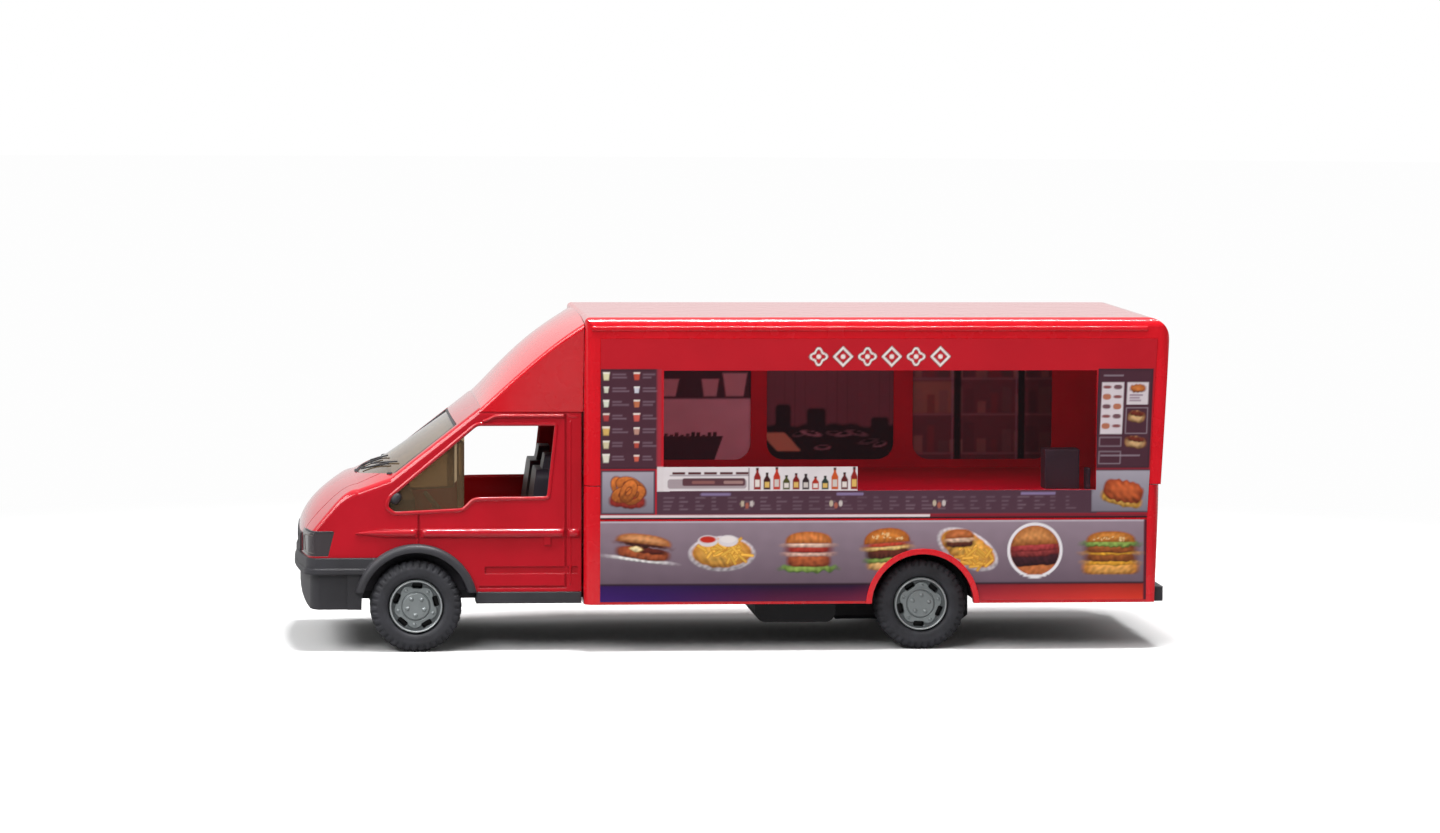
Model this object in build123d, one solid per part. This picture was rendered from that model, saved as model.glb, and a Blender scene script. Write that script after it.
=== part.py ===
from build123d import *
import math
import os

os.makedirs("parts", exist_ok=True)

# A pull-back toy food truck at about 1:50: die-cast cab, moulded plastic box body and chassis.
# Millimetres. The nose points to -X, the serving side faces -Y, the wheels stand on Z = 0.
# The origin lies on the ground, in the middle of the length and width.

# Overall sizes and the running gear
overall_length = 129.4
wheelbase_share = 0.5796
front_overhang = 17.65
tyre_radius = 6.75
tyre_width = 4.8
wheel_set_in = 1.55
rim_radius = 3.95
axle_pin_radius = 0.8
running_clearance = 0.08
spoke_slot_count = 5
wheel_turn_front = -4.0
wheel_turn_rear = 32.0

# Cab: how far it is narrower than the box on each side, its walls, and the lean of its sides.
# Its lengthways places are drawn for drawn_cab_length and stretch with cab_length.
cab_set_in = 2.5
cab_wall = 1.2
cab_lean = 0.04
cab_length = 41.55
drawn_cab_length = 41.55
cab_floor_z = 8.8
glass_inset = 0.35
glass_wall = 0.85
lens_wall = 1.0
nose_bow = 1.6
nose_corner_radius = 3.0
cab_shoulder_radius = 1.1
cab_skirt_depth = 0.8

# Bumper, arches and sills
bumper_bottom_z = 6.25
bumper_top_z = 13.9
bumper_apron_z = 11.5
bumper_ledge_z = 12.3
bumper_proud = 0.55
band_proud = 0.3
apron_proud = -0.3
bumper_wall = 1.6
toe_length = 1.7
toe_height = 2.6
arch_radius = 8.0
flare_width = 1.2
flare_proud = 0.2
flare_round = 0.75
sill_bottom_z = 7.1

# Box body
box_half_width = 22.25
box_wall = 1.2
box_front_x_gap = 0.25
box_top_z = 49.5
box_bottom_z = 7.07
box_split_z = 24.7
split_gap = 0.1
roof_edge_radius = 1.4
roof_rear_radius = 3.3
roof_front_radius = 0.8
box_corner_radius = 1.5
upper_rake = 1.35
lower_setback = 0.1
lower_rake = 0.66
rear_arch_radius = 7.65
rear_arch_rim = 0.85
rear_arch_proud = 0.35

# Serving side: clear panel in a recess, window hole behind it, printed films on it
panel_thickness = 0.8
panel_front_margin = 2.35
panel_rear_margin = 2.1
panel_below_split = 4.95
panel_below_roof = 3.1
window_front_margin = 11.65
window_rear_margin = 11.1
window_below_split = 0.8
window_below_roof = 7.8
film = 0.1
film_edge_gap = 0.43
film_seam = 0.3
sauce_film_length = 29.4
sauce_film_height = 3.9

# Kitchen inside the box
kitchen_floor_wall = 0.8
kitchen_back_wall = 0.95
kitchen_side_gap = 0.1

# Chassis plate and what hangs on it
plate_top_z = 8.6
plate_wall = 1.2
plate_clearance = 0.05
saddle_set_in = 2.9
saddle_width = 2.6
well_clearance = 1.1
well_side_clearance = 0.9
liner_wall = 0.6

# Places worked out from the sizes above
upper_lean = math.atan2(upper_rake, box_top_z - box_split_z)
roof_rear_trim = roof_rear_radius * (math.tan(upper_lean) + 1 / math.cos(upper_lean) - 1)
nose_x = -overall_length / 2 + bumper_proud
tail_x = overall_length / 2 + roof_rear_trim
front_axle_x = -overall_length / 2 + front_overhang
rear_axle_x = front_axle_x + wheelbase_share * overall_length
axle_z = tyre_radius
cab_half_width = box_half_width - cab_set_in
wheel_outer_y = box_half_width - wheel_set_in
wheel_inner_y = wheel_outer_y - tyre_width
flare_outer_y = wheel_outer_y + flare_proud
plate_cab_half_width = wheel_inner_y - well_side_clearance - 0.1
neck_half_width = plate_cab_half_width + plate_clearance
saddle_y = plate_cab_half_width - saddle_set_in
cab_rear_x = nose_x + cab_length
box_front_x = cab_rear_x + box_front_x_gap
split_rear_x = tail_x - upper_rake
lower_rear_x = split_rear_x - lower_setback
panel_front_x = box_front_x + panel_front_margin
panel_rear_top_x = tail_x - panel_rear_margin
panel_rear_low_x = lower_rear_x - panel_rear_margin + 0.15
window_front_x = box_front_x + window_front_margin
window_rear_x = tail_x - window_rear_margin
window_length = window_rear_x - window_front_x
inner_half_width = box_half_width - box_wall
panel_bottom_z = box_split_z - panel_below_split
panel_top_z = box_top_z - panel_below_roof
window_bottom_z = box_split_z - window_below_split
window_top_z = box_top_z - window_below_roof
lower_film_bottom_z = box_bottom_z + film_edge_gap
lower_film_top_z = panel_bottom_z - film_seam
kitchen_floor_z = window_bottom_z - 0.2
outside = box_half_width + 10
ahead_x, behind_x, above_z = nose_x - 10, tail_x + 10, box_top_z + 10
sides = (-1, 1)


def from_nose(x):
    """A place along the cab, x behind the nose on a cab of the drawn length."""
    return nose_x + x * cab_length / drawn_cab_length


def block(x0, x1, y0, y1, z0, z1):
    """A box between two corners."""
    size = (abs(x1 - x0), abs(y1 - y0), abs(z1 - z0))
    return Pos((x0 + x1) / 2, (y0 + y1) / 2, (z0 + z1) / 2) * Box(*size)


def rectangle(x0, x1, z0, z1):
    """The four corners of an upright rectangle."""
    return [(x0, z0), (x1, z0), (x1, z1), (x0, z1)]


def side_prism(points, y0, y1):
    """An outline of (x, z) points, pushed from y0 to y1."""
    face = make_face(Plane.XZ * Polyline(*points, close=True))
    return Pos(0, y0, 0) * extrude(face, y1 - y0, dir=(0, 1, 0))


def side_disc(x, z, radius, y0, y1):
    """A round bar across the truck, from y0 to y1."""
    return Pos(x, (y0 + y1) / 2, z) * Rot(90, 0, 0) * Cylinder(radius, abs(y1 - y0))


def both_sides(solid):
    """A solid and its mirror image across the centre plane."""
    return solid + mirror(solid, Plane.XZ)


def keep(name, shape):
    """Writes one piece of the toy to its own file."""
    piece = shape if isinstance(shape, Compound) else Compound(children=shape.solids())
    export_step(piece, f"parts/{name}.step")


# Cab form. Columns: distance behind the nose, height of the shoulder, crown above it.
bonnet_stations = [
    (0.0, 13.6, 2.0),
    (1.25, 16.9, 2.8),
    (3.25, 19.4, 2.7),
    (5.25, 21.8, 1.8),
    (8.65, 23.9, 1.2),
]
pillar_base = (13.45, 25.5, 2.4)
roof_front = (26.45, 35.9, 0.6)
roof_rear = (drawn_cab_length, 36.0, 0.3)


def cab_section(station, inset):
    """The cab's outline across the truck, drawn inside the skin by the inset."""
    behind_nose, edge_z, crown = station
    edge_z = edge_z - inset
    base_z = cab_floor_z - cab_skirt_depth
    bottom = cab_half_width - inset
    top = bottom - cab_lean * (edge_z - base_z)
    outline = (
        Line((-bottom, base_z), (-top, edge_z))
        + ThreePointArc((-top, edge_z), (0, edge_z + crown), (top, edge_z))
        + Polyline((top, edge_z), (bottom, base_z), (-bottom, base_z))
    )
    face = make_face(outline)
    corners = face.vertices().sort_by(Axis.Y)[-2:]
    face = fillet(corners, max(cab_shoulder_radius - inset / 2, 0.3))
    across = Plane(origin=(from_nose(behind_nose), 0, 0), x_dir=(0, 1, 0), z_dir=(1, 0, 0))
    return across * face


def plan_outline(inset):
    """The cab from above: a bowed nose with round corners and straight sides."""
    half = cab_half_width + 0.5 - inset
    nose = nose_x + inset
    corner = nose + nose_bow
    back = cab_rear_x + 5
    outline = ThreePointArc((corner, -half), (nose, 0), (corner, half)) + Polyline(
        (corner, half), (back, half), (back, -half), (corner, -half)
    )
    face = make_face(outline)
    return fillet(face.vertices().sort_by(Axis.X)[:2], nose_corner_radius)


def cab_form(inset):
    """The whole cab as a closed form, drawn in by the inset all round but open below."""
    smooth = loft([cab_section(s, inset) for s in bonnet_stations])
    chain = [bonnet_stations[-1], pillar_base, roof_front, roof_rear]
    form = smooth
    for near, far in zip(chain, chain[1:]):
        form = form + loft([cab_section(near, inset), cab_section(far, inset)], ruled=True)
    prism = extrude(plan_outline(inset), above_z, dir=(0, 0, 1))
    rear = block(ahead_x, cab_rear_x - max(inset, 0), -outside, outside, 0, above_z)
    return form & prism & rear


cab_outer = cab_form(0)
cab_inner = cab_form(cab_wall)
cab_skin = cab_outer - cab_inner

# Windows, seen from the side as (x, z) from the nose and the ground
door_glass_rear = 24.25
door_window = [
    (from_nose(12.65), 21.3),
    (from_nose(13.9), 20.4),
    (from_nose(24.05), 20.9),
    (from_nose(25.65), 22.5),
    (from_nose(36.6), 22.6),
    (from_nose(37.9), 33.6),
    (from_nose(26.05), 33.6),
    (from_nose(13.2), 22.9),
]
door_cut = side_prism(door_window, -outside, outside)
screen_bottom, screen_tip, screen_top, screen_top_tip = 14.2, 8.7, 23.2, 22.7
screen_bottom_y, screen_top_y = cab_half_width - 2.05, cab_half_width - 2.65
screen_outline = (
    ThreePointArc(
        (from_nose(screen_bottom), -screen_bottom_y),
        (from_nose(screen_tip), 0),
        (from_nose(screen_bottom), screen_bottom_y),
    )
    + Line((from_nose(screen_bottom), screen_bottom_y), (from_nose(screen_top), screen_top_y))
    + ThreePointArc(
        (from_nose(screen_top), screen_top_y),
        (from_nose(screen_top_tip), 0),
        (from_nose(screen_top), -screen_top_y),
    )
    + Line((from_nose(screen_top), -screen_top_y), (from_nose(screen_bottom), -screen_bottom_y))
)
screen_cut = Pos(0, 0, 22) * extrude(make_face(screen_outline), 20, dir=(0, 0, 1))

# Headlamps and grille are openings in the nose
lamp_low_z, lamp_high_z, lamp_rear, lamp_inner_y = 14.15, 17.75, 5.1, cab_half_width - 7.95
lamp_outline = [
    (nose_x - 2, lamp_low_z),
    (nose_x + lamp_rear - 0.9, lamp_low_z),
    (nose_x + lamp_rear, lamp_high_z),
    (nose_x - 2, lamp_high_z),
]
lamp_cut = both_sides(side_prism(lamp_outline, -outside, -lamp_inner_y))
grille_half, grille_low_z, grille_high_z = lamp_inner_y - 1.2, 14.2, 16.9
grille_cut = block(nose_x - 3, from_nose(3.0), -grille_half, grille_half, grille_low_z, grille_high_z)

front_arch_cut = side_disc(front_axle_x, axle_z, arch_radius + flare_width / 2, -outside, outside)
bumper_cut = block(nose_x - 5, front_axle_x, -outside, outside, 0, bumper_top_z)

cab_shell = cab_skin - door_cut - screen_cut - lamp_cut - grille_cut
below_cab = block(ahead_x, behind_x, -outside, outside, 0, cab_floor_z)
cab_shell = cab_shell - front_arch_cut - bumper_cut - below_cab

# Pressed lines: columns are the two ends of each groove as (x from nose, z)
groove_width, groove_depth = 0.28, 0.22
door_front, door_rear, door_low_z, door_high_z = 17.55, 39.25, 9.5, 34.9
door_grooves = [
    ((door_front, 15.6), (door_front, 20.6)),
    ((door_rear, door_low_z), (door_rear, door_high_z)),
    ((26.6, door_low_z), (door_rear, door_low_z)),
]
groove_skin = cab_outer - cab_form(groove_depth)
for (x0, z0), (x1, z1) in door_grooves:
    half = groove_width / 2
    cut = block(from_nose(x0) - half, from_nose(x1) + half, -outside, outside, z0 - half, z1 + half)
    cab_shell = cab_shell - (groove_skin & cut)
door_bar = block(from_nose(27.3), from_nose(41.0), -outside, outside, 11.5, 12.5)
cab_shell = cab_shell - (groove_skin & door_bar)
bonnet_line_y = cab_half_width - 5.75
for side in sides:
    y = side * bonnet_line_y
    line = block(from_nose(1.0), from_nose(12.5), y - groove_width / 2, y + groove_width / 2, 17.9, 27)
    cab_shell = cab_shell - (groove_skin & line)

# Raised lines on the doors and wings: a rubbing strip in three lengths, a handle, a rain gutter
strip_proud, strip_gap = 0.28, 0.25
strip_low_z, strip_high_z = 16.9, 18.1
gutter_low_z, gutter_high_z = 34.55, 35.0
raised_outlines = [
    [
        (8.2, 17.5),
        (12.4, 18.1),
        (door_front - strip_gap, strip_high_z),
        (door_front - strip_gap, strip_low_z),
        (12.4, 17.0),
    ],
    rectangle(door_front + strip_gap, door_rear - strip_gap, strip_low_z, strip_high_z),
    rectangle(door_rear + strip_gap, drawn_cab_length - 0.3, strip_low_z, strip_high_z),
    rectangle(36.0, 37.0, 15.7, strip_low_z),
    [(27.4, 34.1), (29.2, gutter_low_z), (39.0, gutter_low_z), (39.0, gutter_high_z), (28.8, gutter_high_z)],
]
proud_skin = cab_form(-strip_proud) - cab_form(0.4)
for outline in raised_outlines:
    shape = side_prism([(from_nose(x), z) for x, z in outline], -outside, outside)
    cab_shell = cab_shell + (proud_skin & shape)
keep("cab_shell", cab_shell)

# Smoked mouldings that close the openings
glass_skin = cab_form(glass_inset) - cab_form(glass_inset + glass_wall)
screen_pane = glass_skin & screen_cut
quarter_zone = block(nose_x, from_nose(door_glass_rear), -outside, outside, 18, 40)
quarter_panes = glass_skin & door_cut & quarter_zone
keep("cab_glazing", Compound(children=screen_pane.solids() + quarter_panes.solids()))
lamp_lenses = (cab_outer - cab_form(lens_wall)) & lamp_cut
keep("headlamp_lenses", Compound(children=lamp_lenses.solids()))
lamp_backs = (cab_form(lens_wall + 0.05) - cab_form(lens_wall + 0.6)) & lamp_cut
keep("headlamp_backs", Compound(children=lamp_backs.solids()))

# Grille: two rows of openings in a frame that stands a little proud of the nose
grille_body = (cab_form(-0.3) - cab_form(0.9)) & grille_cut
grille_core = cab_form(0.25)
slot_rows = [(14.6, 15.35), (15.75, 16.5)]
slot_pitch, slot_gap = 1.75, 0.45
for low, high in slot_rows:
    for n in range(-6, 6):
        y0 = n * slot_pitch + slot_gap / 2
        y1 = y0 + slot_pitch - slot_gap
        if abs(y0) < grille_half - 0.4 and abs(y1) < grille_half - 0.4:
            grille_body = grille_body - (block(nose_x - 3, nose_x + 3, y0, y1, low, high) - grille_core)
keep("grille", grille_body)

# Bumper wrapped round the nose, with the arch flares that grow out of its ends
def plan_band(outset, z0, z1):
    """A band round the nose between two heights, standing out of the cab by the outset."""
    outside = Pos(0, 0, z0) * extrude(plan_outline(-outset), z1 - z0, dir=(0, 0, 1))
    inside = Pos(0, 0, z0 - 1) * extrude(plan_outline(bumper_wall - outset), z1 - z0 + 2, dir=(0, 0, 1))
    outer, inner = cab_half_width + outset, cab_half_width - 1
    side_limit = block(nose_x - 5, front_axle_x, -outer, outer, z0, z1)
    inner_limit = block(nose_x + 4, front_axle_x + 1, -inner, inner, z0 - 1, z1 + 1)
    return (outside - inside - inner_limit) & side_limit


bumper = plan_band(apron_proud, bumper_bottom_z, bumper_apron_z)
bumper = bumper + plan_band(bumper_proud, bumper_apron_z, bumper_ledge_z)
bumper = bumper + plan_band(band_proud, bumper_ledge_z, bumper_top_z)
toe_corner_x = nose_x - apron_proud
toe_angles = [math.radians(15 * n) for n in range(7)]
toe_curve = [
    (toe_corner_x + toe_length * (1 - math.cos(a)), bumper_bottom_z + toe_height * (1 - math.sin(a)))
    for a in toe_angles
]
toe_outer = [(toe_corner_x - 2, bumper_bottom_z - 1), (toe_corner_x - 2, toe_curve[0][1])]
bumper = bumper - side_prism(toe_curve + toe_outer, -outside, outside)
flare_inner_y = -cab_half_width + 0.9
flare_ring = side_disc(front_axle_x, axle_z, arch_radius + flare_width, -flare_outer_y, flare_inner_y)
flare_ring = fillet(flare_ring.edges().filter_by(GeomType.CIRCLE).sort_by(Axis.Y)[0], flare_round)
flare_ring = flare_ring & block(ahead_x, behind_x, -outside, 0, cab_floor_z, above_z)
fill_front_x, fill_outer_y = nose_x + 7, cab_half_width + 0.05
side_fill = block(fill_front_x, front_axle_x, -fill_outer_y, flare_inner_y, bumper_bottom_z, bumper_top_z)
bumper = bumper + both_sides(flare_ring + side_fill)
bumper = bumper - side_disc(front_axle_x, axle_z, arch_radius, -outside, outside)
bumper_rear_cut = block(nose_x + 9.15, front_axle_x, -outside, outside, 0, axle_z + 1.2)
bumper = bumper - bumper_rear_cut - (cab_shell + lamp_lenses)
keep("front_bumper", bumper)

# Sills under the doors
sill_front_x = front_axle_x + arch_radius + 0.9
sill_outer_y, sill_inner_y = cab_half_width + 0.1, plate_cab_half_width + 0.05
sill = block(sill_front_x, cab_rear_x, -sill_outer_y, -sill_inner_y, sill_bottom_z, cab_floor_z)
keep("side_sills", both_sides(sill))


# Fairing between the cab roof and the box. Columns: distance behind the nose, share of the rise to the
# box roof, crown, half width.
fairing_seam = 0.05
fairing_edge_radius = 0.7
fairing_low_z, fairing_rise = 35.7, box_top_z - 1.0 - 35.7
fairing_rear = (cab_length + box_front_x_gap - fairing_seam) * drawn_cab_length / cab_length
fairing_stations = [
    (26.45, 0.0, 0.8, cab_half_width - 1.1),
    (32.65, 0.4375, 2.1, cab_half_width - 0.35),
    (37.2, 0.742, 1.8, box_half_width - 1.85),
    (fairing_rear, 1.0, 0.95, box_half_width - 0.85),
]


def fairing_section(station, inset):
    """The fairing's outline across the truck, drawn in by the inset."""
    behind_nose, rise, crown, half = station
    base_z = fairing_low_z - 1.7
    half = half - inset
    edge_z = fairing_low_z + rise * fairing_rise - inset
    low_half = cab_half_width - cab_lean * (36 - 8) - inset
    outline = (
        Line((-low_half, base_z), (-half, edge_z))
        + ThreePointArc((-half, edge_z), (0, edge_z + crown), (half, edge_z))
        + Polyline((half, edge_z), (low_half, base_z), (-low_half, base_z))
    )
    face = make_face(outline)
    face = fillet(face.vertices().sort_by(Axis.Y)[-2:], max(fairing_edge_radius - inset / 2, 0.1))
    across = Plane(origin=(from_nose(behind_nose), 0, 0), x_dir=(0, 1, 0), z_dir=(1, 0, 0))
    return across * face


fairing = loft([fairing_section(s, 0) for s in fairing_stations])
fairing = fairing - loft([fairing_section(s, cab_wall) for s in fairing_stations])
fairing = fairing - cab_outer - block(nose_x, tail_x, -outside, outside, 0, fairing_low_z - 0.3)
keep("roof_fairing", fairing)


# Box body: side outline, cross outline and plan outline meet in one form
def box_form(inset, top_z):
    """The box drawn in by the inset, up to the given roof height, before it is split."""
    front = box_front_x + inset
    rear_top = tail_x - inset
    rear_split = split_rear_x - inset
    profile = [(front, 0), (front, top_z), (rear_top, top_z), (rear_split, box_split_z), (rear_split, 0)]
    form = side_prism(profile, -outside, outside)
    rear_edge = form.edges().filter_by(Axis.Y).group_by(Axis.Z)[-1].sort_by(Axis.X)[-1]
    form = fillet(rear_edge, roof_rear_radius - inset)
    front_edge = form.edges().filter_by(Axis.Y).group_by(Axis.Z)[-1].sort_by(Axis.X)[0]
    form = fillet(front_edge, max(roof_front_radius - inset, 0.2))
    half = box_half_width - inset
    cross = Rectangle(2 * half, top_z, align=(Align.CENTER, Align.MIN))
    cross = fillet(cross.vertices().sort_by(Axis.Y)[-2:], max(roof_edge_radius - inset, 0.2))
    across = Plane(origin=(front - 5, 0, 0), x_dir=(0, 1, 0), z_dir=(1, 0, 0))
    form = form & extrude(across * cross, overall_length, dir=(1, 0, 0))
    plan = Pos((front + rear_top) / 2, 0, 0) * Rectangle(rear_top - front, 2 * half)
    plan = fillet(plan.vertices(), max(box_corner_radius - inset, 0.3))
    return form & extrude(plan, above_z, dir=(0, 0, 1))


panel_outline = [
    (panel_front_x, panel_bottom_z),
    (panel_rear_low_x, panel_bottom_z),
    (panel_rear_top_x, panel_top_z),
    (panel_front_x, panel_top_z),
]
# Pressed lines of the two rear doors: first and last y, first and last z
line_y, line_low_z, line_high_z = box_half_width - 1.95, box_bottom_z + 1, panel_top_z
rear_lines = [
    (-0.15, 0.15, line_low_z, line_high_z),
    (-line_y, 0.3 - line_y, line_low_z, line_high_z),
    (line_y - 0.3, line_y, line_low_z, line_high_z),
    (-line_y, line_y, line_high_z - 0.3, line_high_z),
]
panel_recess = side_prism(panel_outline, -outside, -box_half_width + panel_thickness)
window_back_y = 1 - inner_half_width
window_hole = block(window_front_x, window_rear_x, -outside, window_back_y, window_bottom_z, window_top_z)
box_upper = box_form(0, box_top_z) - box_form(box_wall, box_top_z - box_wall)
box_upper = box_upper & block(ahead_x, behind_x, -outside, outside, box_split_z, above_z)

# Bead under the roof edge, and the line of the two rear doors
bead_low_z, bead_high_z, bead_proud = box_top_z - 1.95, box_top_z - 1.3, 0.2
bead_outer_y, bead_inner_y = box_half_width + bead_proud, box_half_width - 0.2
bead = block(box_front_x + 1.0, tail_x - 3.6, -bead_outer_y, -bead_inner_y, bead_low_z, bead_high_z)
bead = fillet(bead.edges().filter_by(Axis.X).group_by(Axis.Y)[0], 0.15)
box_upper = box_upper + both_sides(bead)
box_upper = box_upper - panel_recess - window_hole
upper_groove_skin = box_form(0, box_top_z) - box_form(groove_depth, box_top_z)
for y0, y1, z0, z1 in rear_lines:
    box_upper = box_upper - (upper_groove_skin & block(tail_x - 4, tail_x + 1, y0, y1, z0, z1))
keep("box_upper", box_upper)

# Lower box: skirt with wheel arches, open below
def lower_form(inset):
    """The skirt drawn in by the inset."""
    front = box_front_x + inset
    rear = lower_rear_x - inset
    half = box_half_width - inset
    foot = rear - lower_rake
    profile = [(front, 0), (front, box_split_z), (rear, box_split_z), (foot, box_bottom_z), (foot, 0)]
    form = side_prism(profile, -half, half)
    plan = Pos((front + rear) / 2, 0, 0) * Rectangle(rear - front, 2 * half)
    plan = fillet(plan.vertices(), max(box_corner_radius - inset, 0.3))
    return form & extrude(plan, above_z, dir=(0, 0, 1))


box_lower = lower_form(0) - lower_form(box_wall)
box_lower = box_lower & block(ahead_x, behind_x, -outside, outside, box_bottom_z, box_split_z - split_gap)
rim_outer_y, rim_inner_y = box_half_width + rear_arch_proud, box_half_width - 0.3
arch_rim = side_disc(rear_axle_x, axle_z, rear_arch_radius + rear_arch_rim, -rim_outer_y, -rim_inner_y)
arch_rim = arch_rim & block(ahead_x, behind_x, -outside, 0, box_bottom_z, above_z)
box_lower = box_lower + both_sides(arch_rim)
box_lower = box_lower - side_disc(rear_axle_x, axle_z, rear_arch_radius, -outside, outside)
tail_lamp_low_z, tail_lamp_high_z, tail_lamp_width = 12.2, 16.4, 2.7
tail_lamp_depth, tail_lamp_proud = 0.6, 0.1
lamp_outer_y = box_half_width - 2.35
lamp_side_y = lamp_outer_y - tail_lamp_width
lamp_room = block(lower_rear_x - 3, behind_x, -lamp_outer_y, -lamp_side_y, tail_lamp_low_z, tail_lamp_high_z)
lamp_room = both_sides(lamp_room)
box_lower = box_lower - (lamp_room - lower_form(tail_lamp_depth))
tail_lamps = lamp_room & (lower_form(-tail_lamp_proud) - lower_form(tail_lamp_depth))
keep("tail_lamps", Compound(children=tail_lamps.solids()))
lower_groove_skin = lower_form(0) - lower_form(groove_depth)
for y0, y1, z0, z1 in rear_lines:
    box_lower = box_lower - (lower_groove_skin & block(lower_rear_x - 4, lower_rear_x + 1, y0, y1, z0, z1))
neck_room = block(box_front_x - 2, box_front_x + 3, -neck_half_width, neck_half_width, 0, plate_top_z)
box_lower = box_lower - panel_recess - window_hole - neck_room
keep("box_lower", box_lower)

# Clear panel of the serving side, and the printed films
keep("serving_panel", side_prism(panel_outline, -box_half_width, -box_half_width + panel_thickness))


def film_sheet(outline, side):
    """A printed film on the outside of one wall, drawn as (x, z) points."""
    faces = sorted((box_half_width * side, (box_half_width + film) * side))
    return side_prism(outline, *faces)


upper_film = film_sheet(panel_outline, -1)
window_open = block(window_front_x, window_rear_x, -outside, 0, window_bottom_z, window_top_z)
keep("upper_film_left", upper_film - window_open)
keep("upper_film_right", film_sheet(panel_outline, 1))
rim_room = side_disc(rear_axle_x, axle_z, rear_arch_radius + rear_arch_rim + 0.05, -outside, outside)
lower_film_rear_x = lower_rear_x - 2.0
for name, side in (("lower_film_left", -1), ("lower_film_right", 1)):
    corners = rectangle(panel_front_x, lower_film_rear_x, lower_film_bottom_z, lower_film_top_z)
    keep(name, film_sheet(corners, side) - rim_room)
sauce_front_x = window_front_x - 0.6
sauce_low_z = window_bottom_z - 0.35
sauce_rear_x, sauce_top_z = sauce_front_x + sauce_film_length, sauce_low_z + sauce_film_height
sauce_film = film_sheet(rectangle(sauce_front_x, sauce_rear_x, sauce_low_z, sauce_top_z), -1)
keep("sauce_film", sauce_film - (upper_film - window_open))

# Kitchen: moulded floor and back wall with raised columns, films between them, two appliances
kitchen_front_x = box_front_x + box_wall + kitchen_side_gap
kitchen_rear_x = lower_rear_x - box_wall - 0.2
kitchen_half = inner_half_width - kitchen_side_gap
kitchen_back_y = kitchen_half - kitchen_back_wall
kitchen_top_z = box_top_z - box_wall - 1.6
kitchen_low_z = kitchen_floor_z - kitchen_floor_wall


def across_kitchen(y0, y1, z0, z1):
    """A slab over the whole length of the kitchen."""
    return block(kitchen_front_x, kitchen_rear_x, y0, y1, z0, z1)


kitchen = across_kitchen(-kitchen_half, kitchen_half, kitchen_low_z, kitchen_floor_z)
kitchen = kitchen + across_kitchen(kitchen_back_y, kitchen_half, kitchen_floor_z, kitchen_top_z)
# Bays in the back wall. Columns: first and last place, as shares of the window's length
bay_low_z, bay_depth, bay_corner = kitchen_floor_z + 1.3, 0.5, 2.6
bay_shares = [(-0.1295, 0.2636), (0.3024, 0.611), (0.6575, 0.9985)]
bays = [[window_front_x + share * window_length for share in pair] for pair in bay_shares]
bay_solids = []
for x0, x1 in bays:
    bay = block(x0, x1, kitchen_back_y - bay_depth, kitchen_back_y, bay_low_z, kitchen_top_z)
    bay = fillet(bay.edges().filter_by(Axis.Y).group_by(Axis.Z)[0], bay_corner)
    bay_solids.append(bay)
ribs = across_kitchen(kitchen_back_y - bay_depth, kitchen_back_y, kitchen_floor_z, kitchen_top_z)
for bay in bay_solids:
    ribs = ribs - bay
kitchen = kitchen + ribs
keep("kitchen_moulding", kitchen)
bay_films = []
for x0, x1 in bays:
    sheet = block(x0, x1, kitchen_back_y - film, kitchen_back_y, bay_low_z, kitchen_top_z)
    sheet = fillet(sheet.edges().filter_by(Axis.Y).group_by(Axis.Z)[0], bay_corner)
    bay_films += sheet.solids()
keep("kitchen_films", Compound(children=bay_films))
# Columns: rear end ahead of the window's rear edge, distance behind the window wall, length, depth, height
appliances = [(1.9, 2.8, 5.2, 4.0, 5.9), (0.5, 1.2, 0.6, 2.4, 3.2)]
stands = []
for ahead, behind, length, depth, height in appliances:
    x1, y0 = window_rear_x - ahead, behind - inner_half_width
    stand = block(x1 - length, x1, y0, y0 + depth, kitchen_floor_z, kitchen_floor_z + height)
    stands += stand.solids()
keep("kitchen_appliances", Compound(children=stands))


def wheel_liner(axle_x, outer_y):
    """Two drums over one axle's wheels, open outward and closed on their inner sides."""
    radius = tyre_radius + well_clearance
    inner_y = -(wheel_inner_y - well_side_clearance)
    drum = side_disc(axle_x, axle_z, radius + liner_wall, -outer_y, inner_y + liner_wall)
    return both_sides(drum - side_disc(axle_x, axle_z, radius, -outside, inner_y))


# Chassis plate with wheel wells and axle saddles
plate_low_z = plate_top_z - plate_wall


def plate_part(x0, x1, half):
    """A length of the plate, as wide as twice the half."""
    return block(x0, x1, -half, half, plate_low_z, plate_top_z)


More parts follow.
